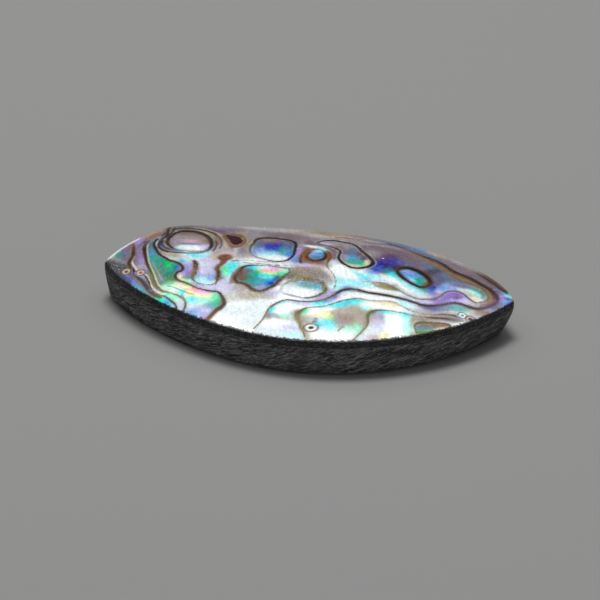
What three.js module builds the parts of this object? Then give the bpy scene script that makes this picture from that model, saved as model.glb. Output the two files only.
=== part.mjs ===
// A marquise cabochon of polished abalone shell, in millimetres, +Z up.
// A domed slice of shell is glued with a thin clear film onto a black backing block.
// The stone lies on its flat underside, its length along X and its fuller, left-hand point at -X.
import * as THREE from 'three';

// Driving dimensions
const length = 50;                 // point to point, at the girdle
const width = 23.6;                // across the girdle
const pointsY = 0.5;               // both points lie slightly behind the middle of the width
const rimHeight = 5;               // height of the polished edge where dome and wall meet
const crown = 1.8;                 // rise of the dome above that edge
const sliceEdge = 1;               // thickness of the shell slice at its edge
const filmThickness = 0.125;       // thickness of the glue film

// The wall leans inwards below the girdle, more at the points than along the sides
const leftLean = 0.6;              // inset of the left point at the underside
const rightLean = 1.5;             // inset of the right point at the underside
const sideLean = 0.15;             // inset of the long sides at the underside
const leanPower = 1.3;
const footRadius = 0.6;            // round along the bottom edge
const rimRadius = 0.25;            // round along the polished top edge
const rimInset = 0.15;             // how far that round draws the edge in
const domePower = 2.2;             // above 2: flatter across the middle, steeper at the edge

// Mesh fineness
const stations = 56;               // steps from point to point
const domeColumns = 20;            // steps across the dome
const backingSteps = 5;            // steps down the straight part of the backing's wall
const edgeSteps = 2;               // steps down the straight part of the slice's edge
const footSteps = 4;               // steps round the bottom edge
const rimSteps = 3;                // steps round the polished edge

const halfLength = length / 2;
const halfWidth = width / 2;
const filmTop = rimHeight - sliceEdge;
const filmBottom = filmTop - filmThickness;
const leftPoint = new THREE.Vector2(-halfLength, pointsY);
const rightPoint = new THREE.Vector2(halfLength, pointsY);

// The two long edges of the outline, each running from the left point to the right one.
// The front edge is the fuller curve; the back edge leaves the left point in a blunt shoulder.
function frontEdge() {
  const edge = new THREE.Path();
  edge.moveTo(leftPoint.x, leftPoint.y);
  edge.bezierCurveTo(-22.2, -4.3, -10.8, -halfWidth, 0.6, -halfWidth);
  edge.bezierCurveTo(11.5, -halfWidth, 21.1, -5.9, rightPoint.x, rightPoint.y);
  return edge.getSpacedPoints(stations);
}

function backEdge() {
  const edge = new THREE.Path();
  edge.moveTo(leftPoint.x, leftPoint.y);
  edge.bezierCurveTo(-25, 2.7, -21.1, 8.8, -18, 9.9);
  edge.bezierCurveTo(-15, 10.9, -7, halfWidth, -1.2, halfWidth);
  edge.bezierCurveTo(13.8, halfWidth, 23.3, 5.7, rightPoint.x, rightPoint.y);
  return edge.getSpacedPoints(stations);
}

const front = frontEdge();
const back = backEdge();

// Depth of a quarter round of the given radius, at a distance from where it is tangent to the wall
function roundDepth(radius, distance) {
  const reach = Math.min(Math.max(distance, 0), radius);
  return radius - Math.sqrt(radius * radius - reach * reach);
}

// The outline at one height, as a closed ring: out along the front edge, then home along the rear one
function ringAt(z) {
  const lean = Math.pow(Math.max(0, 1 - z / filmTop), leanPower);
  const foot = roundDepth(footRadius, footRadius - z);
  const rim = roundDepth(rimRadius, z - (rimHeight - rimRadius)) * rimInset / rimRadius;
  const shrunk = (point) => {
    const tipLean = point.x < 0 ? leftLean : rightLean;
    const alongX = (tipLean * lean + foot + rim) / halfLength;
    const alongY = (sideLean * lean + foot + rim) / halfWidth;
    return new THREE.Vector3(
      point.x * (1 - alongX),
      pointsY + (point.y - pointsY) * (1 - alongY),
      z,
    );
  };
  const rearPoints = back.slice(1, stations).reverse();
  return [...front, ...rearPoints].map(shrunk);
}

// A closed solid put together from rings of equal length, lowest ring first.
class LayeredSolid {
  constructor() {
    this.points = [];
    this.triangles = [];
  }

  addPoints(points) {
    const first = this.points.length;
    this.points.push(...points);
    return points.map((point, index) => first + index);
  }

  triangle(a, b, c) {
    if (a !== b && b !== c && c !== a) this.triangles.push(a, b, c);
  }

  quad(a, b, c, d) {
    this.triangle(a, b, c);
    this.triangle(a, c, d);
  }

  wall(heights) {
    const rings = heights.map((z) => this.addPoints(ringAt(z)));
    for (let level = 1; level < rings.length; level += 1) {
      const lower = rings[level - 1];
      const upper = rings[level];
      for (let i = 0; i < lower.length; i += 1) {
        const next = (i + 1) % lower.length;
        this.quad(lower[i], lower[next], upper[next], upper[i]);
      }
    }
    return { bottom: rings[0], top: rings[rings.length - 1] };
  }

  // The ring's two points at one station; they are the same at the two ends.
  rung(ring, station) {
    return [ring[station], ring[(2 * stations - station) % (2 * stations)]];
  }

  closeFlat(ring, faceUp) {
    for (let station = 0; station < stations; station += 1) {
      const [nearFront, nearBack] = this.rung(ring, station);
      const [farFront, farBack] = this.rung(ring, station + 1);
      if (faceUp) this.quad(nearFront, farFront, farBack, nearBack);
      else this.quad(nearBack, farBack, farFront, nearFront);
    }
  }

  // A dome over the ring; its rise at each station is in proportion to the width there.
  closeDome(ring) {
    const columns = [];
    for (let station = 0; station <= stations; station += 1) {
      const [frontIndex, backIndex] = this.rung(ring, station);
      const start = this.points[frontIndex];
      const end = this.points[backIndex];
      const rise = crown * start.distanceTo(end) / width;
      const column = [frontIndex];
      for (let step = 1; step < domeColumns; step += 1) {
        const across = step / domeColumns;
        const point = start.clone().lerp(end, across);
        point.z += rise * (1 - Math.pow(Math.abs(2 * across - 1), domePower));
        const isPoint = frontIndex === backIndex;
        column.push(isPoint ? frontIndex : this.addPoints([point])[0]);
      }
      column.push(backIndex);
      columns.push(column);
    }
    for (let station = 0; station < stations; station += 1) {
      const near = columns[station];
      const far = columns[station + 1];
      for (let step = 0; step < domeColumns; step += 1) {
        this.quad(near[step], far[step], far[step + 1], near[step + 1]);
      }
    }
  }

  geometry() {
    const geometry = new THREE.BufferGeometry();
    const coordinates = this.points.flatMap((point) => point.toArray());
    geometry.setAttribute('position', new THREE.Float32BufferAttribute(coordinates, 3));
    geometry.setIndex(this.triangles);
    geometry.computeVertexNormals();
    return geometry;
  }
}

function evenSteps(from, to, steps) {
  return Array.from({ length: steps + 1 }, (unused, i) => from + (to - from) * i / steps);
}

// Heights round a quarter circle, closest together where it runs flat
function roundSteps(from, to, steps) {
  return Array.from({ length: steps + 1 }, (unused, i) => {
    return from + (to - from) * Math.sin((i / steps) * Math.PI / 2);
  });
}

function part(name, solid, finish) {
  const mesh = new THREE.Mesh(solid.geometry(), new THREE.MeshStandardMaterial(finish));
  mesh.name = name;
  return mesh;
}

// The slice of shell: flat underneath, a narrow ground edge, and a polished dome on top.
function shellSlice() {
  const solid = new LayeredSolid();
  const edge = evenSteps(filmTop, rimHeight - rimRadius, edgeSteps);
  const polishedEdge = roundSteps(rimHeight - rimRadius, rimHeight, rimSteps).slice(1);
  const { bottom, top } = solid.wall([...edge, ...polishedEdge]);
  solid.closeFlat(bottom, false);
  solid.closeDome(top);
  return part('shell_slice', solid, { color: 0xb9c9cf, roughness: 0.12, metalness: 0.35 });
}

// The glue film between slice and backing.
function glueFilm() {
  const solid = new LayeredSolid();
  const { bottom, top } = solid.wall([filmBottom, filmTop]);
  solid.closeFlat(bottom, false);
  solid.closeFlat(top, true);
  return part('glue_film', solid, { color: 0x8f8a80, roughness: 0.35, metalness: 0 });
}

// The black backing block, with its rounded bottom edge.
function backingBlock() {
  const solid = new LayeredSolid();
  const foot = roundSteps(footRadius, 0, footSteps).reverse();
  const straight = evenSteps(footRadius, filmBottom, backingSteps).slice(1);
  const { bottom, top } = solid.wall([...foot, ...straight]);
  solid.closeFlat(bottom, false);
  solid.closeFlat(top, true);
  return part('backing', solid, { color: 0x2b2b2c, roughness: 0.7, metalness: 0 });
}

const cabochon = new THREE.Group();
cabochon.add(backingBlock(), glueFilm(), shellSlice());

export default cabochon;
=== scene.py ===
import math
import bpy
import numpy as np
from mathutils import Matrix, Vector


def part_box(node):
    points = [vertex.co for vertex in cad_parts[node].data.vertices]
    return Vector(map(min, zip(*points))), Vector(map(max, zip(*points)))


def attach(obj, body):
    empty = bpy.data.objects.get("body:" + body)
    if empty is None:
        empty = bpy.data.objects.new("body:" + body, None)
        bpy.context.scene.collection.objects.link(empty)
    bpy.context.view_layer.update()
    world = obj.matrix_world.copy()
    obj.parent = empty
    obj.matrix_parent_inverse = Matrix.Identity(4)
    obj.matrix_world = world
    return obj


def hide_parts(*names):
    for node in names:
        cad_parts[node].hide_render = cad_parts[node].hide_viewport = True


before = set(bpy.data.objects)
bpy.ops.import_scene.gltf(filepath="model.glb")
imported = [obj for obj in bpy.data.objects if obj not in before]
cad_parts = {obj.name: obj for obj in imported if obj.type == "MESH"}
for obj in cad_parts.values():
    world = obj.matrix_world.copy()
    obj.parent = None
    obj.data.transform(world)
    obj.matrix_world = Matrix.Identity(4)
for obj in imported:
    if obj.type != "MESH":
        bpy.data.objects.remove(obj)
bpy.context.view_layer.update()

mm = 0.001

# the stone's shape, in mm: both edges of the outline run from the left point to the right one
outline = {
    "halfLength": 25,
    "halfWidth": 11.8,
    "rimHeight": 5,                    # where the dome meets the wall
    "pointsY": 0.5,                    # both points lie a little behind the middle
    "frontEdge": [(-25, 0.5), (-22.2, -4.3), (-10.8, -11.8), (0.6, -11.8),
                  (11.5, -11.8), (21.1, -5.9), (25, 0.5)],
    "backEdge": [(-25, 0.5), (-25, 2.7), (-21.1, 8.8), (-18, 9.9), (-15, 10.9), (-7, 11.8),
                 (-1.2, 11.8), (13.8, 11.8), (23.3, 5.7), (25, 0.5)],
    "leftLean": 0.6,                   # how far the wall leans in by the underside
    "rightLean": 1.5,
    "sideLean": 0.15,
    "leanPower": 1.3,
    "footRadius": 0.6,
    "rimRadius": 0.25,
    "rimInset": 0.15,
    "domePower": 2.2,
    "stations": 440,                   # steps from point to point
    "domeColumns": 180,                # steps across the dome
}

# the paints, as red, green and blue from 0 to 255
paints = {
    # the first white below stands both for white nacre and for painted reflection: the glare of the light on
    # the front of the dome, and the painted glints in the crazing
    "milkAndGlare": (245, 250, 247), "frost": (214, 226, 231), "cream": (236, 224, 186), "lemon": (246, 243, 172),
    "lime": (206, 238, 132), "peach": (246, 196, 150), "rose": (242, 150, 178), "orchid": (246, 166, 238),
    "mint": (150, 246, 208), "emerald": (22, 226, 138), "jade": (44, 172, 130), "moss": (78, 112, 74),
    "cyan": (64, 228, 236), "ice": (166, 240, 242), "aqua": (74, 178, 206), "teal": (66, 152, 150),
    "lagoon": (44, 118, 132), "azure": (98, 150, 214), "blue": (60, 92, 184), "indigo": (56, 48, 148),
    "navy": (34, 32, 62), "periwinkle": (152, 162, 222), "lavender": (198, 192, 228),
    "lilac": (168, 148, 204), "violet": (128, 96, 176), "plum": (92, 66, 96), "mauve": (116, 98, 106),
    "dusk": (112, 98, 106), "ash": (145, 138, 141), "pearl": (190, 190, 186), "stone": (166, 158, 146),
    "sand": (188, 166, 140), "gold": (180, 144, 92), "bronze": (126, 88, 48), "rust": (112, 58, 38),
    "umber": (74, 51, 34), "olive": (104, 98, 48), "khaki": (148, 140, 98), "maroon": (58, 30, 33),
    "toffee": (132, 108, 84), "fern": (46, 150, 106), "blush": (196, 168, 166), "pine": (30, 96, 84),
    "slate": (94, 110, 136), "smoke": (50, 43, 45), "coal": (26, 23, 23),
}

# dark protein lines: points in mm from the line that joins the stone's two points
seams = {
    "tipSeam": {
        "points": [
            (-22.3, 4.3), (-22.05, 3.3), (-21.85, 2), (-21.65, 0.9), (-21.8, 0), (-21.85, -0.7),
            (-21.5, -1.4), (-21, -2), (-20.6, -2.7), (-20.1, -3.3), (-19.5, -3.9), (-18.9, -4.7),
            (-18.3, -5.4), (-17.5, -6.1), (-16.8, -6.5),
        ],
        "widths": (0.15, 0.45, 0.45, 0.3, 0.4, 0.5, 0.4), "rim": 0.25,
        "tones": ("bronze", "umber", "umber", "maroon", "smoke", "smoke", "moss"),
    },
    "ringSeam": {
        "points": [(-19.45, -2.8), (-19.05, -3.4), (-18.6, -4.2), (-18.3, -4.9), (-17.9, -5.35)],
        "widths": (0.1, 0.22, 0.22, 0.1), "rim": 0.3, "tones": ("smoke", "umber"),
    },
    "bandSeam": {
        "points": [
            (-20.4, 4.6), (-20.65, 3.4), (-20.55, 2.6), (-20.4, 1.8), (-20.15, 1), (-19.9, 0.2),
            (-19.55, -0.8), (-19.05, -1.8), (-18.5, -2.8), (-18.1, -3.8), (-17.6, -4.7), (-17, -5.35),
            (-16.2, -5.75), (-15.2, -6.1), (-14.3, -6.6), (-13.65, -7.2), (-13.45, -8), (-13.7, -9),
        ],
        "widths": (0.3, 0.5, 0.4, 0.35, 0.32, 0.3, 0.14, 0.26, 0.3), "rim": 0.5,
        "tones": ("dusk", "smoke", "smoke", "umber", "olive", "olive", "olive", "khaki", "umber"),
    },
    "innerLoop": {
        "points": [
            (-17, -6.15), (-16.4, -6.35), (-15.7, -6.8), (-15.1, -7.3), (-14.6, -7.9), (-14.4, -8.6),
        ],
        "widths": (0.1, 0.24, 0.26, 0.2), "rim": 0.4, "tones": ("moss", "umber"),
    },
    "greatSeam": {
        "points": [
            (-19.45, 4.9), (-19.6, 3.9), (-19.45, 3.1), (-19.05, 2.3), (-18.65, 1.5), (-18.15, 0.9),
            (-17.5, 0.4), (-16.85, -0.1), (-16.1, -0.35), (-15.5, -0.75), (-15.05, -1.4), (-15, -1.95),
            (-15.45, -2.4), (-15.6, -3), (-15.35, -3.6), (-14.7, -4), (-13.9, -4.35), (-13.1, -4.8),
            (-12.3, -5.15), (-11.5, -5.4), (-10.7, -5.55), (-10, -5.6), (-9.45, -6.1), (-9.05, -6.8),
            (-8.85, -7.5), (-9.1, -8.1), (-9.6, -8.6), (-10, -9.3), (-10.5, -10.2),
        ],
        "widths": (0.3, 0.42, 0.34, 0.36, 0.4, 0.34, 0.26, 0.26, 0.4, 0.64, 0.5), "rim": 0.2,
        "tones": (
            "smoke", "smoke", "smoke", "umber", "smoke", "umber", "olive", "smoke", "umber", "umber",
            "bronze",
        ),
    },
    "notchSeam": {
        "points": [
            (-14.2, 0.1), (-13.8, -0.1), (-13.55, -0.7), (-13.4, -1.5), (-13.35, -2.3), (-13.5, -3),
            (-13.35, -3.6), (-12.7, -4.15), (-11.9, -4.4), (-11.1, -4.45), (-10.5, -4.15),
        ],
        "widths": (0.12, 0.5, 0.5, 0.4, 0.16, 0.12, 0.12), "rim": 0.1,
        "tones": ("umber", "umber", "bronze", "olive", "mauve", "mauve"),
    },
    "stemSeam": {
        "points": [
            (-10.35, 0.2), (-10.45, -0.4), (-10.8, -0.85), (-10.8, -1.4), (-10.5, -2.1), (-10.4, -2.9),
            (-10.4, -3.6), (-10.5, -4.3),
        ],
        "widths": (0.5, 0.4, 0.46, 0.42, 0.4, 0.2), "rim": 0.1,
        "tones": ("bronze", "bronze", "umber", "umber", "olive"),
    },
    "wispSeam": {
        "points": [
            (-9.4, 0.45), (-8.6, 0.75), (-7.6, 0.9), (-6.6, 0.82), (-5.7, 0.88), (-5, 0.75), (-4.2, 0.4),
            (-3.4, 0.3), (-2.3, 0.45), (-1.4, 0.75),
        ],
        "widths": (0.16, 0.08, 0.05, 0.06, 0.06, 0.05), "rim": 0,
        "tones": ("mauve", "dusk", "ash", "mauve", "ash"),
    },
    "wispSeam2": {
        "points": [(-5.2, 1.2), (-4.6, 0.85), (-3.8, 0.62), (-2.8, 0.75)], "widths": (0.04, 0.08, 0.04),
        "rim": 0, "tones": ("ash",),
    },
    "longSeam": {
        "points": [
            (3, 9.3), (5, 9), (7, 8.7), (8.8, 8.85), (10, 8.5), (11.3, 7.8), (12.5, 7), (13.6, 6.5),
            (14.7, 6), (15.6, 5.4), (16.3, 4.7), (17, 4), (18, 3.4), (19, 3), (20, 2.4), (21, 1.7),
            (22, 1.05), (22.75, 0.2), (23.05, -0.6), (22.9, -1.3), (22.4, -2), (21.7, -2.6),
            (20.8, -3.05), (19.8, -3), (18.7, -2.8), (17.8, -3), (17, -3.45), (16.2, -3.85),
            (15.2, -4.15), (14.4, -4.2), (13.5, -4), (12.5, -3.75), (11.5, -3.6), (10.3, -3.45),
            (9, -3.4), (7.7, -3.35), (6.6, -3.1), (5.8, -3.05), (5, -3.35), (4.4, -3.9), (3.9, -4.6),
            (3.2, -5.35), (2.4, -5.85), (1.4, -6.15), (0.3, -6.3), (-0.7, -6.25), (-1.5, -6.25),
            (-2.2, -6.6), (-2.85, -7.2), (-3.3, -7.8), (-3.5, -8.5), (-3.65, -9.2), (-4, -10.1),
            (-4.6, -11.1),
        ],
        "widths": (
            0.15, 0.22, 0.3, 0.4, 0.45, 0.5, 0.55, 0.55, 0.5, 0.45, 0.42, 0.45, 0.42, 0.4, 0.42, 0.4,
            0.42, 0.46, 0.34, 0.22, 0.24, 0.26, 0.24, 0.16,
        ),
        "rim": 0.1,
        "tones": (
            "dusk", "dusk", "dusk", "smoke", "smoke", "smoke", "smoke", "smoke", "plum", "plum", "smoke",
            "plum", "smoke", "navy", "smoke", "smoke", "smoke", "navy", "dusk", "slate", "dusk", "bronze",
            "khaki", "khaki",
        ),
    },
    "waveSeam": {
        "points": [
            (7, -1.25), (7.8, -1.1), (8.8, -1.08), (9.7, -1.15), (10.5, -1.4), (11.2, -1.85),
            (11.8, -2.4), (12.5, -2.85), (13.3, -3.15), (14, -3.25), (14.8, -3.1), (15.5, -2.85),
            (16.05, -2.5), (16.45, -1.9), (16.8, -1.3), (17.4, -0.8), (18.2, -0.6), (18.9, -0.85),
            (19.5, -1.35), (20.1, -1.85), (20.7, -2.15),
        ],
        "widths": (0.05, 0.14, 0.14, 0.16, 0.2, 0.22, 0.24, 0.26, 0.26, 0.16), "rim": 0.25,
        "tones": ("khaki", "olive", "stone", "khaki", "khaki", "dusk", "dusk", "dusk", "dusk", "olive"),
    },
    "lensUnder": {
        "points": [(7.9, -1.35), (8.5, -1.85), (9.3, -2.2), (10.2, -2.35), (11, -2.3), (11.6, -2.3)],
        "widths": (0.05, 0.12, 0.1, 0.05), "rim": 0.2, "tones": ("mauve", "stone"),
    },
    "streamSeam": {
        "points": [
            (0.9, -7.35), (1.8, -7.05), (2.8, -6.8), (3.6, -6.4), (4.4, -5.85), (5.2, -5.3), (6.1, -4.9),
            (6.9, -4.62), (7.7, -4.7), (8.6, -4.72), (9.5, -4.52), (10.5, -4.35), (11.2, -4.45),
            (12, -4.9), (13, -5.35), (14, -5.6), (15, -5.65), (16, -5.5), (17, -5.2), (18, -5),
            (18.8, -4.9),
        ],
        "widths": (0.06, 0.1, 0.14, 0.16, 0.1, 0.06, 0.08, 0.14, 0.2, 0.24, 0.2), "rim": 0.2,
        "tones": (
            "khaki", "teal", "slate", "teal", "ash", "pearl", "stone", "stone", "stone", "bronze",
            "umber",
        ),
    },
    "apronSeam": {
        "points": [
            (7.2, -11.4), (7.5, -10.9), (8, -10.1), (8.4, -9.3), (8.6, -8.5), (8.5, -7.7), (8.5, -7.1),
            (8.8, -6.6), (9.4, -6.25), (10.2, -6.1), (11.2, -6.05), (12.2, -6.05), (13.2, -6.15),
            (14.2, -6.25), (15.2, -6.1), (16.2, -5.9), (17.3, -5.7), (18.5, -5.6), (19.6, -5.25),
        ],
        "widths": (0.14, 0.22, 0.26, 0.36, 0.42, 0.2, 0.12, 0.12, 0.14, 0.24, 0.2, 0.1), "rim": 0.1,
        "tones": (
            "stone", "khaki", "khaki", "olive", "olive", "olive", "slate", "slate", "ash", "umber",
            "umber", "stone",
        ),
    },
    "pocketSeam": {
        "points": [
            (1.1, -7.25), (0.6, -7.7), (0.2, -8.3), (0.25, -9), (0.6, -9.7), (0.9, -10.4), (1.3, -11),
            (1.6, -11.7), (2, -12.6),
        ],
        "widths": (0.14, 0.5, 0.5, 0.34, 0.22, 0.14), "rim": 0.1,
        "tones": ("olive", "olive", "khaki", "khaki", "khaki", "stone"),
    },
    "edgeSeam": {
        "points": [(7.3, -11.1), (7.9, -11.35), (8.7, -11.3), (9.6, -11)], "widths": (0.1, 0.2, 0.1),
        "rim": 0, "tones": ("olive", "pine", "moss"),
    },
    "backSeam": {
        "points": [(19.2, 5.2), (20.3, 4.3), (21.4, 3.5), (22.3, 2.7), (23.1, 1.9), (23.9, 1.3)],
        "widths": (0.1, 0.4, 0.46, 0.4, 0.34), "rim": 0.1, "tones": ("dusk", "umber", "umber", "smoke"),
    },
    "hornSeam": {
        "points": [(-18.75, 9.2), (-18.7, 7.8), (-18.5, 6.6), (-18.55, 5.6), (-18.9, 4.9)],
        "widths": (0.3, 0.34, 0.4, 0.3), "rim": 0.15, "tones": ("smoke", "smoke", "navy"),
    },
    "hornSeam2": {
        "points": [(-18.1, 8.8), (-17.95, 7.8), (-18.1, 6.6), (-18.25, 5.6), (-18.2, 4.8)],
        "widths": (0.1, 0.24, 0.3, 0.2), "rim": 0.15, "tones": ("smoke", "smoke", "plum"),
    },
    "legSeam": {
        "points": [
            (1.65, 4.75), (2, 4.1), (2.2, 3.2), (2.15, 2.3), (2.1, 1.5), (2.35, 0.8), (2.8, 0.1),
            (3.25, -0.6), (3.6, -1.4), (3.8, -2.4), (3.75, -3.3),
        ],
        "widths": (0.2, 0.4, 0.4, 0.2, 0.12, 0.1, 0.1, 0.12, 0.12), "rim": 0.35,
        "tones": ("bronze", "bronze", "bronze", "khaki", "khaki", "stone", "ash", "dusk"),
    },
    "legSeam2": {
        "points": [(-0.6, 4.85), (-0.95, 4.1), (-1.2, 3.1), (-1.25, 2.1), (-1.05, 1.3)],
        "widths": (0.15, 0.34, 0.4, 0.24), "rim": 0.3, "tones": ("bronze", "bronze", "umber"),
    },
}

# closed outlines, each a small island of nacre with its own border
islands = {
    "greatEye": {
        "points": [
            (-18.1, 4.7), (-17.9, 5.7), (-17.6, 6.6), (-17.1, 7.2), (-16.3, 7.5), (-15.2, 7.45),
            (-14.3, 6.95), (-13.5, 6.25), (-12.95, 5.4), (-12.6, 4.4), (-12.45, 3.5), (-12.65, 2.7),
            (-13.2, 2.15), (-14.2, 2.1), (-15.3, 2.1), (-16.2, 2.3), (-16.9, 2.55), (-17.5, 3.05),
            (-17.95, 3.75),
        ],
        "widths": (0.5, 0.5, 0.6, 0.8, 0.9, 0.8, 0.6, 0.5, 0.44, 0.4, 0.24, 0.14, 0.14, 0.34, 0.5, 0.5),
        "rim": 0.2, "ground": "ash",
        "tones": (
            "maroon", "smoke", "smoke", "coal", "smoke", "umber", "umber", "smoke", "smoke", "slate",
            "ash", "ash", "ash", "umber", "umber", "umber",
        ),
    },
    "blueIsland": {
        "points": [
            (-7.45, 6), (-6.9, 6.75), (-6.1, 7), (-5.25, 7.1), (-4.4, 7), (-3.5, 6.85), (-2.8, 6.5),
            (-2.4, 5.8), (-2.3, 5), (-2.25, 4.1), (-2.2, 3.2), (-2.35, 2.4), (-2.75, 1.7), (-3.3, 1.3),
            (-4.1, 1.12), (-4.9, 1.3), (-5.7, 1.5), (-6.5, 1.8), (-7.15, 2.25), (-7.55, 2.95),
            (-7.7, 3.8), (-7.65, 4.6), (-7.5, 5.3),
        ],
        "widths": (0.42, 0.5, 0.5, 0.4, 0.34, 0.3, 0.26, 0.14, 0.1, 0.12, 0.3, 0.34), "rim": 0.55,
        "ground": "slate",
        "tones": (
            "umber", "smoke", "smoke", "coal", "navy", "navy", "navy", "dusk", "ash", "dusk", "olive",
            "umber",
        ),
    },
    "pupil": {
        "points": [
            (-0.6, 3.1), (-0.45, 3.9), (0, 4.6), (0.5, 4.85), (1.15, 4.5), (1.6, 3.8), (1.6, 2.9),
            (1.1, 2.3), (0.4, 2.1), (-0.25, 2.4),
        ],
        "widths": (0.34, 0.3, 0.1, 0.06, 0.3, 0.44, 0.44, 0.5, 0.55, 0.45), "rim": 0.1, "ground": "aqua",
        "tones": ("rust", "rust", "ash", "frost", "umber", "maroon", "maroon", "rust", "rust", "rust"),
    },
    "sock": {
        "points": [
            (0.1, 6.85), (0.5, 7.5), (1.2, 7.9), (2, 8.05), (3, 7.95), (4, 7.65), (4.75, 7.2), (5.3, 6.5),
            (5.75, 5.75), (6.3, 5.1), (6.85, 4.4), (7.3, 3.7), (7.5, 2.95), (7.25, 2.25), (6.6, 1.7),
            (5.8, 1.38), (5.1, 1.42), (4.4, 1.8), (3.75, 2.4), (3.3, 3.1), (3.2, 3.9), (3.2, 4.7),
            (3.05, 5.25), (2.6, 5.7), (1.9, 6.05), (1.1, 6.3), (0.45, 6.5),
        ],
        "widths": (0.3, 0.42, 0.4, 0.38, 0.42, 0.46, 0.5, 0.42, 0.36, 0.32, 0.26, 0.3, 0.3, 0.24),
        "rim": 0.6, "ground": "ash",
        "tones": (
            "dusk", "smoke", "smoke", "smoke", "umber", "smoke", "coal", "coal", "coal", "coal", "smoke",
            "smoke", "dusk", "dusk",
        ),
    },
    "lens": {
        "points": [
            (10.65, 2.1), (11.15, 2.75), (12.1, 2.85), (13.2, 2.35), (14.2, 1.5), (14.75, 0.65),
            (14.8, -0.1), (14.4, -0.7), (13.75, -0.88), (13, -0.62), (12.2, -0.1), (11.4, 0.6),
            (10.8, 1.4),
        ],
        "widths": (0.62, 0.8, 0.8, 0.74, 0.66, 0.5, 0.4, 0.44, 0.5, 0.5), "rim": 0, "ground": "azure",
        "tones": ("umber", "coal", "coal", "coal", "umber", "umber", "coal", "coal", "coal", "umber"),
    },
    "diamond": {
        "points": [
            (-7.8, -0.67), (-7.3, -0.25), (-6.7, -0.08), (-5.7, 0.04), (-4.8, 0.08), (-4, 0),
            (-3.2, -0.08), (-2.45, -0.18), (-2.05, -0.55), (-2.15, -1.15), (-2.55, -1.95), (-2.95, -2.8),
            (-3.4, -3.7), (-4, -4.4), (-4.65, -4.9), (-5.25, -5.05), (-6, -4.7), (-6.55, -4.2),
            (-7.2, -3.85), (-7.9, -3.65), (-8.3, -3.2), (-8.35, -2.6), (-8.1, -1.9), (-7.95, -1.25),
        ],
        "widths": (0.34, 0.26, 0.18, 0.12, 0.12, 0.24, 0.34, 0.34, 0.32, 0.34, 0.34, 0.34, 0.4, 0.5, 0.4),
        "rim": 0.2, "ground": "teal",
        "tones": (
            "umber", "coal", "lagoon", "dusk", "dusk", "moss", "umber", "umber", "umber", "umber",
            "umber", "umber", "umber", "rust", "umber",
        ),
    },
    "cloud": {
        "points": [
            (-2.5, -4.1), (-2.3, -3.5), (-1.8, -2.95), (-1.3, -2.75), (-0.9, -2.3), (0, -2.05), (1, -2.1),
            (1.9, -2.3), (2.5, -2.85), (2.7, -3.5), (2.7, -4.05), (2.35, -4.65), (1.75, -5.2),
            (0.9, -5.55), (0, -5.6), (-0.9, -5.35), (-1.9, -5.1), (-2.4, -4.7),
        ],
        "widths": (0.1, 0.2, 0.4, 0.5, 0.55, 0.55, 0.5, 0.35, 0.2, 0.12, 0.1, 0.1), "rim": 0.4,
        "ground": "frost",
        "tones": (
            "frost", "khaki", "khaki", "olive", "olive", "olive", "olive", "olive", "dusk", "ash",
            "frost", "frost",
        ),
    },
    "pod": {
        "points": [
            (14.1, -7.9), (14.2, -7.35), (14.8, -7), (15.8, -6.8), (16.8, -6.55), (17.8, -6.4),
            (18.2, -6.6), (18, -7.05), (17.2, -7.5), (16.3, -7.95), (15.3, -8.4), (14.5, -8.6),
        ],
        "widths": (0.26, 0.24, 0.24, 0.3, 0.16, 0.14), "rim": 0.7, "ground": "stone",
        "tones": ("olive", "olive", "bronze", "olive", "khaki", "moss"),
    },
}
print("outline and growth lines set")


def stretch(name, first, last):
    # a dark line's own points, from one to another, either way along it
    step = 1 if last >= first else -1
    return [seams[name]["points"][k] for k in range(first, last + step, step)]


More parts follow.
